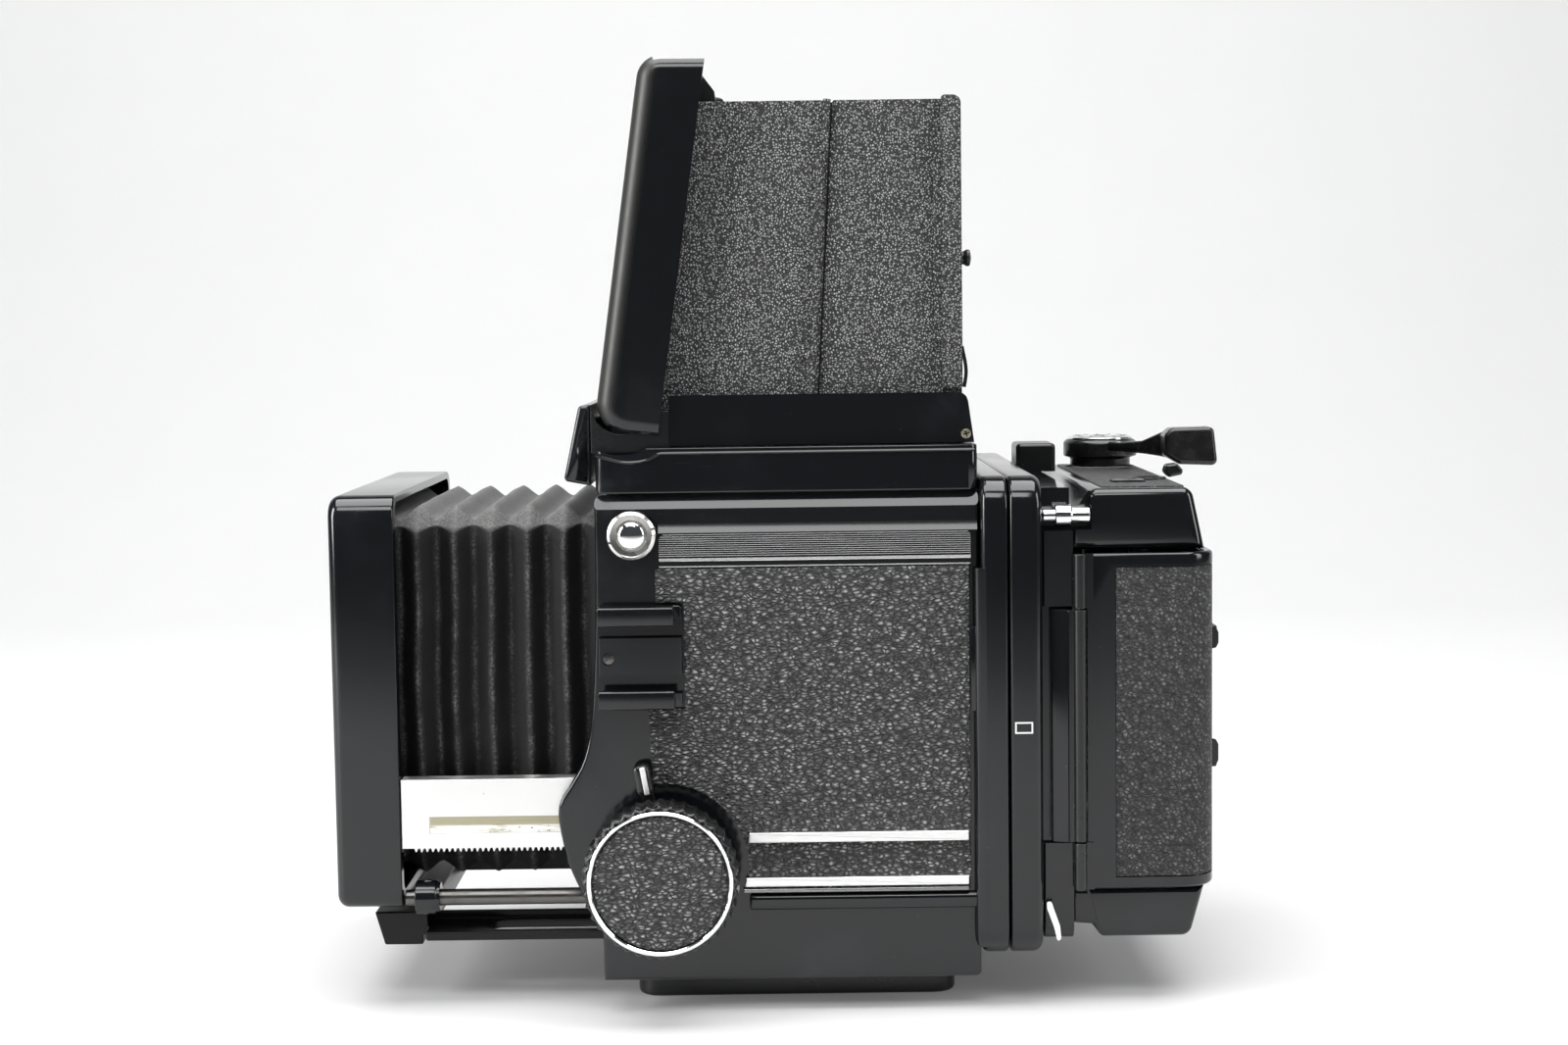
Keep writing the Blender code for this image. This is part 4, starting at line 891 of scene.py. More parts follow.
def accessory_shoe():
    """A flat plate with two folded rails that leave a channel open towards the rear."""
    lo, hi = box("accessory_shoe")
    seat = rounded(oblong(lo.x, hi.x, lo.z, hi.z), 0.7, 4)
    plate = as_object(slab(seat, "Y", -53.8, -51.9, 0.3, 0.0, 3), "shoe_plate")
    for z0, z1, lip in ((lo.z, lo.z + 4.2, 1.0), (hi.z - 4.2, hi.z, -1.0)):
        rail = rounded(oblong(-57.6, -53.4, z0, z1), [0.6, 0.5, 0.5, 0.6], 4)
        join(plate, slab(rail, "X", lo.x, hi.x - 1.6, 0.3, 0.3, 3))
        edge = z1 if lip > 0 else z0
        notch = rounded(oblong(-56.1, -50.0, *sorted((edge - lip * 1.1, edge + lip * 3.0))), 0.2, 2)
        cut(plate, slab(notch, "X", -60.0, -20.0))
    cut(plate, rod("Y", SHOE_SCREW, 1.5, -60, -53.3, 40))
    dress(plate, BODY, GLOSS, "accessory_shoe", bevel=0.22)
    screw("shoe_screw", BODY, place("Y", *SHOE_SCREW, -53.25), "-Y", 1.3, "dark_steel", depth=0.4)


def trim_strips():
    """Two bright strips on the left side, over a grey lip."""
    rear, base = 38.8, -52.4
    for name, x0, x1, z0, z1 in (("upper", -10.5, -10.3, 38.9, 41.1), ("lower", -11.5, -11.1, 28.9, 30.9)):
        strip = rounded([(x0, z0), (rear, z0), (rear, z1), (x1, z1)], 0.15, 2)
        piece(slab(strip, "Y", -53.4, base, 0.25, 0.0, 3), "bright_strip_" + name, BODY, "bright_alloy",
              "trim_strip_" + name)
    lip = rounded(oblong(-11.8, rear, 27.5, 28.4), 0.2, 2)
    piece(slab(lip, "Y", -53.2, base, 0.3, 0.0, 3), "strip_lip", BODY, "ribbed_grey")


def name_strips():
    """A ribbed strip over a bright bead and a dark step, with no lettering."""
    ribs, low = 11, 103.1
    for name, sign in SIDES:
        lo, hi = box("name_strip_" + name)
        pitch = (hi.z - low) / ribs
        base, root, top = 51.7, 52.12, 52.5
        profile = [(base, 100.9), (52.4, 100.9), (52.4, 101.2), (52.05, 101.25)]
        profile += [(52.05, 102.2), (52.4, 102.25), (top, 102.4), (top, 102.85), (52.2, 103.05)]
        for i in range(ribs):
            z = low + pitch * i
            profile += [(root, z), (root, z + pitch * 0.42), (top, z + pitch * 0.58), (top, z + pitch * 0.86)]
        profile += [(52.2, hi.z), (base, hi.z)]
        made = slab([(sign * y, z) for y, z in profile], "X", lo.x, hi.x)
        strip = as_object(made, "ribbed_strip_" + name)
        outline = rounded(oblong(lo.x, hi.x, lo.z, hi.z), [0.3, 0.3, 1.0, 1.4], 5)
        carve(strip, "INTERSECT", side_slab(outline, sign, 51.0, 54.0))
        dress(strip, BODY, "rib_metal", "name_strip_" + name, crease=20)
        step = block(lo.x + 0.1, hi.x - 0.1, *span(sign, 51.9, 52.15), 101.2, 102.2)
        piece(step, "dark_step_" + name, BODY, GLOSS)


def strap_lugs():
    """A turned ring with two slots round a polished dome."""
    for name, sign in SIDES:
        centre = middle("strap_lug_" + name).xz
        levels = [(3.0, 51.7), (5.5, 51.7), (5.5, 53.2), (5.35, 53.7), (4.75, 54.15), (4.65, 54.1)]
        levels += [(4.6, 53.6), (3.5, 53.5), (3.4, 53.8), (3.1, 53.8), (3.0, 53.5)]
        slots = []
        for side in (-1, 1):
            x, z = centre.x + side * 5.2, centre.y + side * 1.5
            slots.append(block(x - 0.8, x + 0.8, *span(sign, 52.8, 55.0), z - 0.3, z + 0.3))
        piece(side_lathe(levels, sign, centre, 120), "lug_ring_" + name, BODY, "nickel",
              "strap_lug_" + name, slots, bevel=0.05, segments=2)
        r, steps = 3.05, 14
        dome = [(0.0, 51.8), (r, 51.8), (r, 53.9)]
        for a in [math.pi / 2 * k / steps for k in range(1, steps)]:
            dome.append((r * math.cos(a), 53.9 + 1.1 * math.sin(a)))
        made = side_lathe(dome + [(0.0, 55.0)], sign, centre, 96)
        piece(made, "lug_dome_" + name, BODY, "chrome", crease=60)


def bar_along(hub, tilt, ends):
    """The outline of a bar that runs out from a hub; ends are (distance, half width)."""
    along = Vector((math.cos(math.radians(tilt)), math.sin(math.radians(tilt))))
    across = Vector((-along.y, along.x))
    (u0, h0), (u1, h1) = ends
    corners = ((u0, -h0), (u1, -h1), (u1, h1), (u0, h0))
    return [tuple(Vector(hub) + along * u + across * h) for u, h in corners]


def lock_lever():
    """The focus lock: a washer behind the knob with a tab that steps out over the leather."""
    tilt = 101.0
    washer = lathe([(3.0, -51.7), (8.0, -51.7), (8.0, -52.3), (3.0, -52.3)], "Y", KNOB_CENTRE, 64)
    lever = as_object(washer, "focus_lock_tab")
    join(lever, slab(bar_along(KNOB_CENTRE, tilt, ((6.5, 1.4), (18.9, 1.4))), "Y", -52.35, -51.75))
    join(lever, slab(bar_along(KNOB_CENTRE, tilt, ((17.4, 1.5), (18.8, 1.5))), "Y", -53.4, -52.0))
    tip = rounded(bar_along(KNOB_CENTRE, tilt, ((17.6, 1.9), (24.6, 1.9))), 1.3, 5)
    join(lever, slab(tip, "Y", -56.2, -52.7, 1.1, 0.0, 4))
    dress(lever, "focus_lock", "knob_black", "focus_lock_lever", bevel=0.12, segments=2)
    # painted highlight: a bright strip along the tab stands in for the shine along a rounded chrome lever
    strip = rounded(bar_along(KNOB_CENTRE, tilt - 1.0, ((17.8, 0.55), (24.1, 0.62))), 0.25, 3)
    piece(slab(strip, "Y", -56.55, -55.9, 0.2, 0.0, 3), "focus_lock_highlight_strip", "focus_lock", "bright_alloy")


def cocking_lever():
    tilt, body = 50.0, "cocking_lever"
    base = [(0.0, 51.7), (10.8, 51.7), (10.8, 55.6), (9.8, 56.6), (7.4, 56.6), (7.0, 56.2), (0.0, 56.2)]
    lever = as_object(lathe(turned(base, 0.3), "Y", COCKING_HUB, 120), "cocking_arm")
    arm = rounded(bar_along(COCKING_HUB, tilt, ((6.0, 5.5), (46.0, 3.2))), 2.0, 5)
    pad = rounded(bar_along(COCKING_HUB, tilt, ((38.0, 4.4), (50.0, 4.4))), 2.4, 5)
    join(lever, slab(arm, "Y", 53.4, 56.1, 0.5, 0.5, 3), slab(pad, "Y", 54.0, 61.0, 0.0, 1.2, 4))
    dress(lever, body, "chrome", "cocking_lever", bevel=0.2, segments=2)
    screw("cocking_screw", body, place("Y", *COCKING_HUB, 56.15), "Y", 3.0)


def release():
    node = "release_button"
    lo, hi = box(node)
    r = (hi.z - lo.z) / 2
    side = [(0.0, lo.x + 0.5), (0.7, lo.x + 0.4), (1.5, lo.x), (r, lo.x + 0.5), (r, hi.x), (0.0, hi.x)]
    piece(lathe(turned(side, 0.25), "X", middle(node).yz, 48), "release_cap", node, "chrome", node)
    rework("release_collar", "steel", 0.15)


# ---------------------------------------------------------------- finder and hood
def lid_point(s, t):
    """A point of the open lid in (X, Z): s runs along the lid from its hinge, t towards its outer face."""
    x, z = LID_HINGE
    cos, sin = math.cos(LEAN), math.sin(LEAN)
    return (x + s * sin - t * cos, z + s * cos + t * sin)


def lid_strip(s0, s1, t0, t1):
    return [lid_point(s0, t0), lid_point(s1, t0), lid_point(s1, t1), lid_point(s0, t1)]


def finder():
    """The base and frame with recesses for the folded wall's flanges, the screen and the hinge cheeks."""
    for node in ("finder_base", "finder_frame"):
        recesses = [block(-30.0, 38.9, *span(sign, 43.0, 46.9), 124.6, 145.0) for _, sign in SIDES]
        piece(from_cad(node), node + "_surface", BODY, GLOSS, node, recesses, bevel=0.3)
    rework("finder_prow", GLOSS, 0.45)
    rework("focusing_screen", "screen_glass", 0.3)
    dip = [(-43.2, 126.0), (-41.0, 125.2), (-37.0, 124.3), (-32.5, 124.6), (-29.5, 126.0), (-28.0, 126.2)]
    line = flowing(dip, 6) + [(-10.0, 126.2), (15.0, 126.2), (40.8, 126.2)]
    for name, sign in SIDES:
        path = [place("Y", x, z, sign * 50.95) for x, z in line]
        piece(tube(path, 0.38), "finder_line_" + name, BODY, GLOSS)
        facing = "-Y" if sign < 0 else "Y"
        screw("frame_screw_" + name, BODY, (39.2, sign * 48.1, 129.6), facing, 1.15, "brass", True)
        screw("hinge_screw_" + name, BODY, place("Y", *LID_HINGE, sign * 47.5), facing, 1.6)
    mask = slab(rounded(oblong(-31.0, 31.0, -27.6, 27.6), 1.0), "Z", 111.25, 111.45)
    opening = block(-30.3, 30.3, -26.9, 26.9, 100, 120)
    piece(mask, "screen_mask", BODY, "deep_black", cuts=[opening])
    cheek = [(-44.4, 126.3), (-26.9, 126.3), (-26.9, 135.5), (-31.0, 135.5)]
    cheek += arc(*LID_HINGE, 6.5, -62, -170, 12) + [(-44.4, 136.6)]
    for name, sign in SIDES:
        piece(side_slab(cheek, sign, 47.2, 48.2), "hinge_cheek_" + name, BODY, SATIN, bevel=0.15)


def hood_lid():
    """The lid is a shallow pressed channel with well-rounded edges along its outer face."""
    s0, s1 = -6.9, 77.1          # its ends
    low, top = -9.2, 5.4         # from its flanges' edges to its outer face
    half, skin = 50.0, 1.2
    over = low - 6.0
    ends = [lid_point(s0, over), lid_point(s1 + 2.8, over), lid_point(s1, top), lid_point(s0, top)]
    profile = rounded(ends, [0.0, 0.0, 5.6, 7.5], 10)
    lid = as_object(slab(profile, "Y", -half, half, 4.0, 4.0, 10), "hood_lid_pressing")
    inner = rounded(lid_strip(s0 - 20, s1 + 20, over - 20, top - 3.1), 2.0, 3)
    cut(lid, slab(inner, "Y", skin - half, half - skin, 1.0, 1.0, 3))
    cut(lid, slab(lid_strip(-40, 140, -60, low), "Y", -80, 80))
    cut(lid, slab(lid_strip(74.2, 100, -30, 30), "Y", -44.2, 44.2))
    for _, sign in SIDES:
        cut(lid, side_slab(lid_strip(70.0, 100, -30, 30), sign, 44.0, 46.9))
    body = "hood_lid"
    dress(lid, body, "lid_black", "hood_lid", bevel=0.14, segments=2)
    plate = [(63.5, -8.6), (72.2, -2.0), (76.0, -2.0), (75.6, -8.0)]
    plate += [(71.6, -12.0), (67.4, -13.2), (66.4, -11.6)]
    bracket = rounded([lid_point(s, t) for s, t in plate], 0.6, 3)
    tab = rounded(lid_strip(69.3, 72.0, -8.2, -4.6), 0.3, 2)
    for name, sign in SIDES:
        pin = rod("Y", LID_HINGE, 0.9, *span(sign, 45.6, 49.4), 24, 0.2)
        piece(pin, "lid_pin_" + name, body, "steel")
        piece(slab(tab, "Y", *span(sign, 45.3, 45.8), 0.1, 0.1, 2), "lid_tab_" + name, body, "brass")
        made = slab(bracket, "Y", *span(sign, 41.8, 43.6), 0.2, 0.2, 2)
        piece(made, "lid_bracket_" + name, body, SATIN)
    liner = rounded(lid_strip(2.0, 73.0, 2.0, 2.29), 0.1, 1)
    piece(slab(liner, "Y", -46.5, 46.5), "lid_liner", body, "flock")


def seam(sign, heights, ahead, out):
    """Points beside the seam of two leaves: ahead is how far in front of it, out is |Y|."""
    foot, height = 139.0, 64.5
    return [(6.5 + 3.6 * (z - foot) / height - ahead, sign * out, z) for z in heights]


def hood_leaves():
    """Front leaves carry the hinge bead along the seam; its top length stands a little lower."""
    look = "crinkle_black"
    for name, sign in SIDES:
        for part in ("front", "rear"):
            node = f"hood_leaf_{part}_{name}"
            leaf = f"leaf_{part}_{name}"
            piece(from_cad(node), node + "_sheet", leaf, look, node, bevel=0.2, segments=2)
        body = "leaf_front_" + name
        line = seam(sign, (134.0, 160.0, 190.0, 203.3), 0.15, 44.5)
        piece(tube(line, 0.42), "leaf_seam_" + name, body, "deep_black")
        bead = seam(sign, (134.0, 160.0, 191.6), 1.5, 45.3)
        piece(tube(bead, 0.95, 12), "leaf_hinge_" + name, body, look)
        top = seam(sign, (192.6, 198.0, 204.0), 1.0, 45.2)
        piece(tube(top, 0.85, 12), "leaf_hinge_top_" + name, body, look)


def rear_wall():
    """The rear wall, its rounded side flanges that lap over the leaves, two stops and a wire spring."""
    body, stop_height = "rear_wall", 168.8
    wall = as_object(from_cad("hood_rear_wall"), "rear_wall_sheet")
    cut(wall, rod("X", (0.0, stop_height), 2.6, 38.71, 45.0))
    flange = rounded(oblong(34.2, 38.7, 139.6, 204.6), [0.6, 0.6, 1.8, 1.0], 5)
    tongue = rounded([(32.6, 151.5), (34.6, 148.5), (34.6, 193.5), (32.6, 193.0)], 0.5, 3)
    for _, sign in SIDES:
        join(wall, side_slab(flange, sign, 45.2, 46.5, 0.5, 4))
        join(wall, block(37.55, 38.65, *span(sign, 43.2, 45.5), 140.2, 202.5))
        join(wall, side_slab(tongue, sign, 45.2, 45.85))
    dress(wall, body, "crinkle_black", "hood_rear_wall", bevel=0.16, segments=2)
    side = turned([(0.0, 38.4), (1.5, 38.4), (1.5, 39.8), (1.9, 40.3), (1.9, 41.1), (0.0, 41.5)], 0.35)
    for name, sign in SIDES:
        piece(lathe(side, "X", (sign * 37.0, stop_height), 40), "wall_stop_" + name, body, "knob_black")
        bows = [39.3 + 0.5 * math.sin(1.3 * math.pi * k / 8) for k in range(9)]
        wire = [(x, sign * 41.5, 139.8 + 1.15 * k) for k, x in enumerate(bows)]
        piece(tube(wire, 0.42, 8), "wall_spring_" + name, body, SATIN)


def magnifier():
    rework("magnifier_arm", SATIN, 0.3)
    rework("magnifier_lens", "lens_glass", 0.25)


# ---------------------------------------------------------------- revolving back and magazine
def back_plates():
    """The square fixed plate with its side lip, and the ring that turns on it with its format mark."""
    z, half, frame_half = middle("back_base").z, 54.0, 36.0
    square = rounded(oblong(-half, half, z - half, z + half), 7.0, 8)
    lo, hi = box("back_base")
    base = as_object(slab(square, "X", lo.x, hi.x, 1.5, 0.9), "back_plate")
    cut(base, block(35, 50, -frame_half, frame_half, z - frame_half, z + frame_half))
    inside_lip = [block(35, 50, -51.9, 51.9, 0.0, 130.0), block(35, 50, -60.0, 60.0, 100.0, 130.0)]
    lip = slab(square, "X", 40.4, 43.0, 1.4, 0.0)
    piece(lip, "back_lip", BODY, GLOSS, cuts=inside_lip, bevel=0.15, segments=2)
    dress(base, BODY, GLOSS, "back_base", bevel=0.2, segments=2)
    lo, hi = box("back_ring")
    opening = block(45, 60, -frame_half, frame_half, z - 30.0, z + 30.0)
    piece(slab(square, "X", lo.x, hi.x, 0.9, 2.2), "turning_ring", BACK, GLOSS, "back_ring", [opening],
          bevel=0.2, segments=2)
    mark = slab(oblong(49.2, 53.2, 62.9, 65.5), "Y", -54.06, -53.6)
    within = block(49.55, 52.85, -60, -50, 63.25, 65.15)
    piece(mark, "format_mark", BACK, "white_paint", cuts=[within])


def door_barrel(name, body, low, high):
    """A length of the magazine door's hinge."""
    outline = turned([(0.0, low), (1.45, low), (1.45, high), (0.0, high)], 0.25)
    piece(lathe(outline, "Z", DOOR_HINGE, 32), name, body, SATIN)


def magazine_body():
    """The insert frame with its two end caps; the caps carry no wall behind the door."""
    z, half = middle("back_ring").z, 48.0
    plate = rounded(oblong(-50.5, 50.5, 15.1, 117.0), 4.0, 6)
    body = as_object(slab(plate, "X", 55.9, 62.6, 0.4, 0.0, 3), "magazine_casting")
    top = [(62.0, 103.1), (92.6, 103.1), (91.9, 106.5), (89.7, 116.9), (67.4, 116.9), (62.0, 109.0)]
    join(body, slab(rounded(top, [0, 0, 2.4, 2.6, 2.4, 0], 6), "Y", -half, half, 2.2, 2.2, 6))
    low = [(62.0, 26.6), (62.0, 18.4), (67.0, 18.0), (69.2, 15.1), (89.2, 15.1), (92.4, 26.6)]
    join(body, slab(rounded(low, [0, 1.6, 0, 1.6, 2.6, 0], 6), "Y", -half, half, 1.5, 1.5, 6))
    groove = [(65.4, 27.5), (66.0, 27.5), (69.6, 14.0), (69.0, 14.0)]
    cut(body, slab(groove, "Y", -50.0, -47.4), slab(groove, "Y", 47.4, 50.0))
    cut(body, block(50, 70, -35.0, 35.0, z - 28.0, z + 28.0))
    cut(body, block(57.0, 58.4, -38.5, 60.0, z - 31.4, z + 31.4))
    cut(body, block(50.0, 67.1, -60.0, -43.6, 107.8, 125.0))
    cut(body, block(50.0, 66.4, -60.0, -48.8, 37.4, 90.9))
    leaf = rounded([(57.6, -48.5), (61.5, -48.5), (61.5, -53.0), (57.6, -51.6)], 0.5, 3)
    join(body, slab(leaf, "Z", 38.0, 90.3, 0.2, 0.2, 2))
    join(body, block(60.8, 63.9, -52.4, -51.4, 38.0, 90.3))
    cut(body, rod("Z", COUNTER, 3.0, 116.3, 120, 48))
    dress(body, BACK, GLOSS, "magazine_body", bevel=0.2, segments=2)
    door_barrel("hinge_barrel", BACK, 38.05, 90.25)
    cap_fittings()


def cap_fittings():
    """The top cap's leather, cut out round the frame counter, the wind lever and a small frame."""
    skin = slab(rounded(oblong(69.6, 88.4, -44.5, 44.5), 1.2), "Z", 116.75, 117.15, 0.0, 0.12, 2)
    holes = [rod("Z", COUNTER, 4.2, 110, 120, 48), rod("Z", WINDER, 8.8, 110, 120, 64)]
    holes.append(block(74.0, 82.0, -31.0, -24.0, 110, 120))
    piece(skin, "cap_leather", BACK, "cap_leather", cuts=holes)
    bezel = turned([(3.2, 116.9), (4.1, 116.9), (4.1, 117.5), (3.7, 117.7), (3.2, 117.4)], 0.1)
    piece(lathe(bezel, "Z", COUNTER, 64), "counter_bezel", BACK, SATIN)
    piece(rod("Z", COUNTER, 3.1, 116.6, 117.2, 48), "counter_window", BACK, "lens_glass")
    window = rounded(oblong(74.2, 81.8, -30.8, -24.2), 0.8)
    piece(slab(window, "Z", 116.6, 117.6, 0.0, 0.25, 2), "counter_frame", BACK, "lever_black")


def door_wall(x0, outer, inner):
    """The door's wall seen from above, between two depths below its outer face, open towards x0."""
    def path(depth):
        half, rear, r = 51.4 - depth, 94.8 - depth, 8.0 - depth
        left = arc(rear - r, r - half, r, -90, 0, 8)
        return [(x0, -half)] + left + arc(rear - r, half - r, r, 0, 90, 8) + [(x0, half)]

    return path(outer) + path(inner)[::-1]


def magazine_door():
    """The pressed door with its leather let in, and its share of the hinge."""
    low, high = 27.0, 102.7
    door = as_object(slab(door_wall(65.7, 0.0, 2.0), "Z", low, high, 0.9, 0.9, 4), "door_pressing")
    cut(door, slab(door_wall(71.9, -2.0, 0.55), "Z", 29.6, 99.7))
    pins = ((low, 37.7), (90.6, high))
    for z0, z1 in pins:
        join(door, block(DOOR_HINGE[0], 67.0, -51.9, -50.6, z0, z1))
    dress(door, "door", GLOSS, "magazine_door", bevel=0.25)
    for i, (z0, z1) in enumerate(pins):
        door_barrel(f"door_knuckle_{i + 1}", "door", z0, z1)
    leather = slab(door_wall(72.1, 0.05, 0.5), "Z", 29.8, 99.5, 0.2, 0.2, 2)
    piece(leather, "door_leather", "door", "fine_leather")
    memo_holder()


def memo_holder():
    """Four clips and two rails on the door that hold the end of a film box."""
    for i, z in enumerate((52.4, 83.6)):
        rail = rounded(oblong(94.0, 97.3, z - 0.8, z + 0.8), 0.5, 3)
        piece(slab(rail, "Y", -36.0, 36.0, 0.4, 0.4, 3), f"memo_rail_{i + 1}", "door", SATIN, bevel=0.1)
    places = [(y, *ends) for y in (-36.4, 35.6) for ends in ((51.6, 58.5), (78.8, 84.4))]
    for i, (y, z0, z1) in enumerate(places):
        hook = [(94.0, z0), (97.0, z0 + 0.4), (97.6, z0 + 1.6)]
        hook += [(97.6, z1 - 1.6), (97.0, z1 - 0.4), (94.0, z1)]
        made = slab(rounded(hook, 0.6, 3), "Y", y, y + 0.8, 0.2, 0.2, 2)
        piece(made, f"memo_clip_{i + 1}", "door", SATIN)


def wind_lever():
    """A low dial with a bright top plate, under a black lever with an upturned pad."""
    body, centre = "wind_lever", Vector(WINDER)

    def knurl(angle, level):
        return -0.14 * (0.5 - 0.5 * math.cos(90 * angle)) if 120.4 < level < 122.8 else 0.0

    side = [(0.0, 117.3), (7.6, 117.3), (7.6, 119.4), (9.3, 119.9), (9.3, 123.3), (8.5, 124.1), (0.0, 124.1)]
    made = lathe(turned(side, 0.35), "Z", centre, 360, knurl)
    piece(made, "wind_hub", body, "lever_black", "wind_lever", crease=40)
    plate = [(0.0, 124.15), (8.1, 124.15), (8.1, 124.6), (7.2, 125.0), (3.0, 125.0), (2.6, 124.75)]
    made = lathe(turned(plate + [(0.0, 124.75)], 0.15), "Z", centre, 120)
    piece(made, "wind_plate", body, "chrome")
    for i in range(12):
        tick = []
        for r, w in oblong(5.2, 6.8, -0.15, 0.15):
            a = math.radians(30.0 * i) + w / r
            tick.append(tuple(centre + Vector((math.cos(a), math.sin(a))) * r))
        piece(slab(tick, "Z", 124.9, 125.04), f"wind_tick_{i + 1}", body, "deep_black")
    along = (Vector((98.0, 5.0)) - centre).normalized()
    across = Vector((-along.y, along.x))
    stations = ((4.0, 4.4, 121.6, 123.9), (12.0, 4.0, 121.4, 123.7), (20.0, 3.6, 121.2, 124.4),
                (26.0, 3.5, 120.8, 126.4), (29.5, 3.6, 120.4, 127.6))
    rings = []
    for u, half, low, high in stations:
        ring = rounded(oblong(-half, half, low, high), 0.7, 3)
        rings.append([(*(centre + along * u + across * v), z) for v, z in ring])
    piece(loft(rings), "wind_arm", body, "lever_black", bevel=0.1)
    wedge = [(91.0, 121.4), (94.6, 119.2), (104.0, 118.8), (103.0, 128.2), (92.6, 128.0), (91.0, 126.4)]
    wedge = rounded(wedge, [1.2, 1.4, 1.4, 1.3, 1.6, 1.3], 4)
    piece(slab(wedge, "Y", 0.6, 8.6, 1.1, 1.1, 5), "wind_pad", body, "lever_black")


def latches():
    """The upper plunger and lower catch of the revolving back, the slide lock and the frame reset."""
    node = "back_latch"
    lo, hi = box(node)
    side = [(0.0, lo.x), (1.5, lo.x), (1.5, 59.0), (2.5, 59.0), (2.5, 62.4), (1.9, 62.6), (1.9, hi.x)]
    made = lathe(turned(side + [(0.0, hi.x)], 0.2), "X", middle(node).yz, 64)
    piece(made, "latch_plunger", node, "chrome", node)
    blade = [(56.2, 24.6), (57.4, 24.5), (59.3, 18.8), (59.6, 15.8), (58.6, 15.2), (57.9, 18.4), (56.3, 22.8)]
    piece(slab(rounded(blade, 0.5, 3), "Y", -52.0, -51.0, 0.2, 0.2, 2), "lower_catch", BACK, "chrome")
    lock = rounded(oblong(56.4, 66.2, 16.0, 30.0), 1.2)
    piece(slab(lock, "Z", 117.0, 124.0, 0.0, 1.0, 4), "slide_lock_block", BACK, SATIN)
    rocker = [(87.9, 118.6), (89.0, 117.3), (92.2, 117.9), (92.4, 119.0), (91.0, 120.6), (88.4, 120.3)]
    made = slab(rounded(rocker, 0.8, 4), "Y", -18.6, -14.0, 0.7, 0.7, 4)
    piece(made, "frame_reset", BACK, "lever_black")


def inside():
    """The mirror, its light baffle, the film path and the spools."""
    for node, look, bevel in (("mirror_frame", "deep_black", 0.2), ("mirror_glass", "mirror", 0.15),
                              ("light_baffle", "deep_black", 0.2), ("pressure_plate", "steel", 0.3),
                              ("dark_slide", "steel", 0.2)):
        rework(node, look, bevel)
    hub, core, flange = 2.2, 4.2, 12.0
    side = [(0.0, 27.2), (hub, 27.2), (hub, 33.7), (flange, 33.7), (flange, 34.7), (core, 34.7)]
    side += [(core, 97.6), (flange, 97.6), (flange, 98.6), (hub, 98.6), (hub, 102.6), (0.0, 102.6)]
    for name in ("supply_spool", "takeup_spool"):
        made = lathe(turned(side, 0.2, 3), "Z", middle(name).xy, 72)
        piece(made, name + "_moulding", name, "spool", name)


# ---------------------------------------------------------------- stage
def stage():
    """A pale table that runs up into a backdrop; both glow a little as painted light, and the table is
    painted dark towards the camera as painted shade.
    """
    level, bend, back, top, wide = -0.05, 700.0, 1150.0, 1500.0, 1700.0
    path = [(y, level) for y in (-1500.0, -900.0, -400.0, -200.0, 200.0, 500.0)]
    for k in range(17):
        a = math.pi / 2 * k / 16
        path.append((bend + (back - bend) * math.sin(a), (back - bend) * (1 - math.cos(a)) + level))
    path.append((back, top))
    bm = bmesh.new()
    rows = [[bm.verts.new((x, y, z)) for x in (-wide, wide)] for y, z in path]
    for low, high in zip(rows, rows[1:]):
        bm.faces.new((low[0], low[1], high[1], high[0]))
    table = as_object(bm, "table_and_backdrop")
    g = Graph("backdrop")
    at = g.add("SeparateXYZ", {0: g.place}).outputs
    # painted light: the table and backdrop glow, more towards the back, which also lifts the floor's shadows
    far = g.range(at["Y"], 0.15, 0.75)
    # painted shade: the table is painted dark towards the camera, standing in for the unlit front of the room
    near = g.range(at["Y"], -0.75, -0.35)
    paper = g.mix(g.noise(60.0), shade(0.57), shade(0.59))
    g.set(Base_Color=g.mix(near, shade(0.25), paper), Roughness=0.6, Specular_IOR_Level=0.25)
    g.set(Emission_Color=shade(1.0), Emission_Strength=g.math("MULTIPLY_ADD", far, 0.2, 0.08))
    table.data.materials.append(LOOKS["backdrop"])
    table.data.shade_smooth()


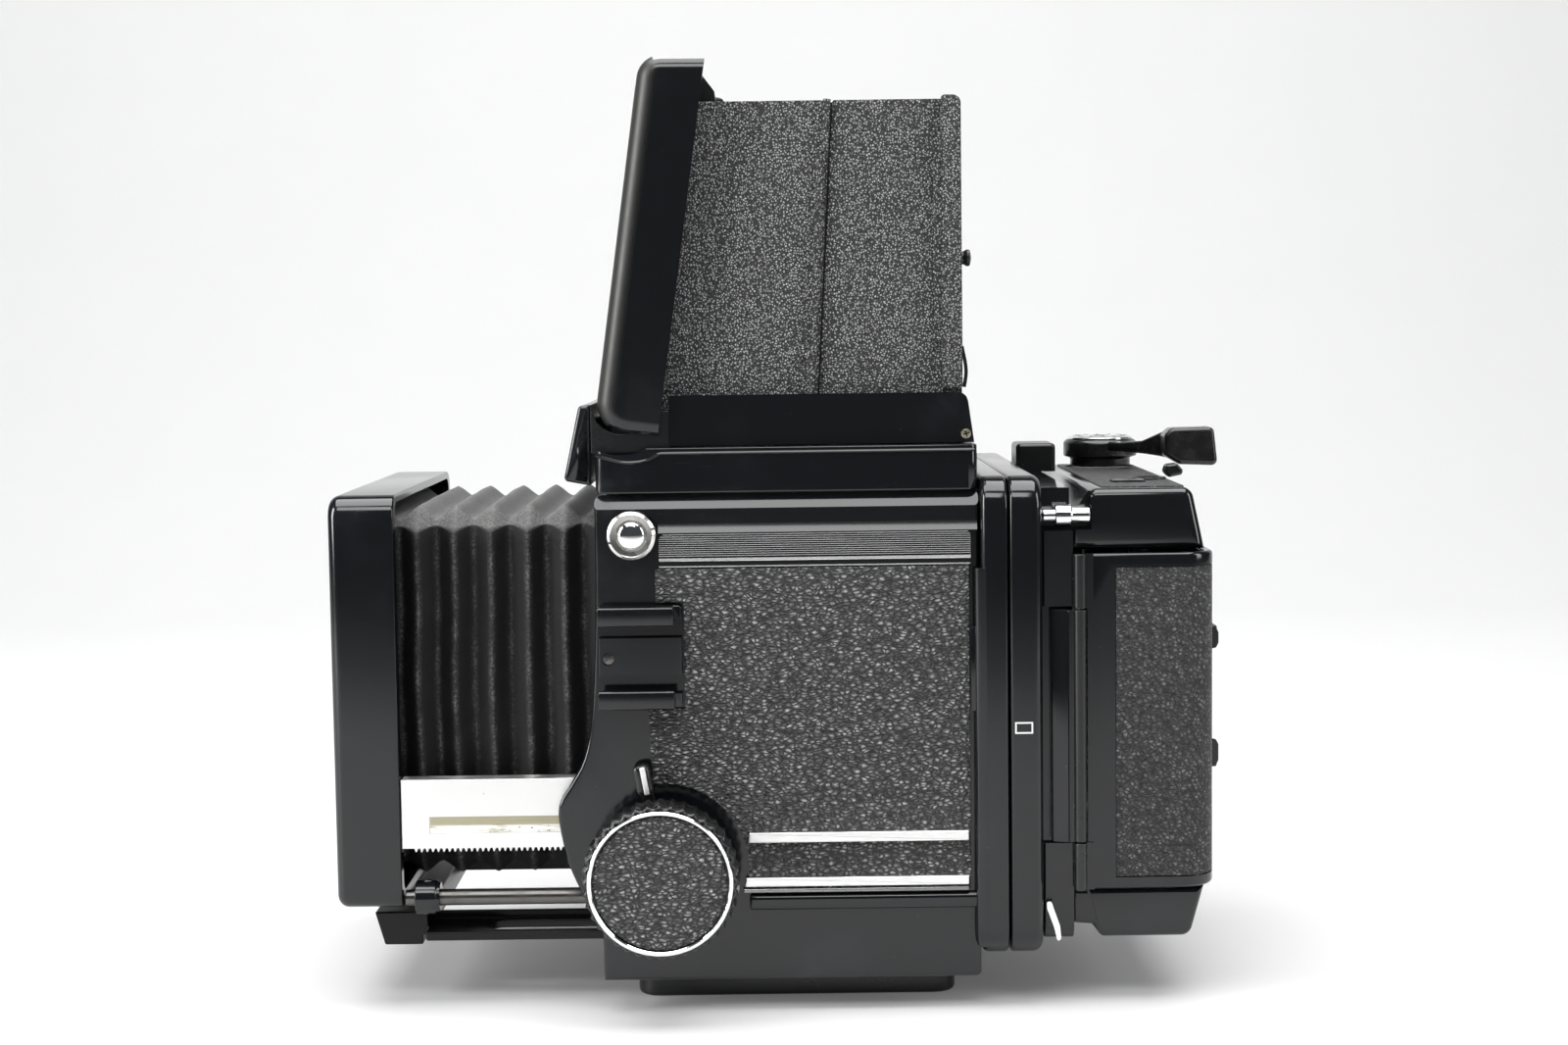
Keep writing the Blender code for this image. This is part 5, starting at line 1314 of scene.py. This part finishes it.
def softbox(name, at, aim, size, power):
    light = bpy.data.lights.new(name, "AREA")
    light.shape = "RECTANGLE"
    light.size, light.size_y = size[0] * MM, size[1] * MM
    light.energy = power
    obj = bpy.data.objects.new(name, light)
    obj.location = Vector(at) * MM
    obj.rotation_euler = (Vector(aim) - Vector(at)).to_track_quat("-Z", "Y").to_euler()
    bpy.context.scene.collection.objects.link(obj)


def lights():
    softbox("top_light", (0, -60, 900), (0, 0, 60), (1000, 700), 15.0)
    softbox("left_light", (-900, -420, 420), (0, 0, 90), (300, 700), 11.0)
    softbox("right_light", (950, -380, 460), (0, 0, 90), (300, 700), 4.5)
    softbox("front_light", (-100, -760, 900), (0, 0, 90), (700, 300), 4.8)
    world = bpy.data.worlds.new("room")
    bpy.context.scene.world = world
    world.use_nodes = True
    sky = world.node_tree.nodes["Background"].inputs
    sky["Color"].default_value = (0.9, 0.95, 1.0, 1.0)
    sky["Strength"].default_value = 0.06


def camera():
    """A camera square to the left side, a little above the middle and tipped down."""
    pitch, roll = math.radians(4.6), math.radians(0.76)
    forward = Vector((0, math.cos(pitch), -math.sin(pitch)))
    right = Vector((1, 0, 0))
    up = right.cross(forward)
    tilted = right * math.cos(roll) - up * math.sin(roll)
    up = right * math.sin(roll) + up * math.cos(roll)
    data = bpy.data.cameras.new("camera")
    data.lens, data.sensor_width = 56.8, 36.0
    data.clip_start, data.clip_end = 0.01, 20.0
    obj = bpy.data.objects.new("camera", data)
    turn = Matrix((tilted, up, -forward)).transposed()
    obj.matrix_world = Matrix.Translation(Vector((-1.62, -599.0, 154.6)) * MM) @ turn.to_4x4()
    bpy.context.scene.collection.objects.link(obj)
    bpy.context.scene.camera = obj


def main():
    for build in (
        make_looks, bellows, front_standard, lens_mount, slides, focus_knobs,
        side_covers, body_pieces, name_strips, strap_lugs, lock_lever, cocking_lever, release,
        finder, hood_lid, hood_leaves, rear_wall, magnifier,
        back_plates, magazine_body, magazine_door, wind_lever, latches, inside,
        stage, lights, camera,
    ):
        build()
    bpy.context.scene.view_settings.view_transform = "Standard"


main()
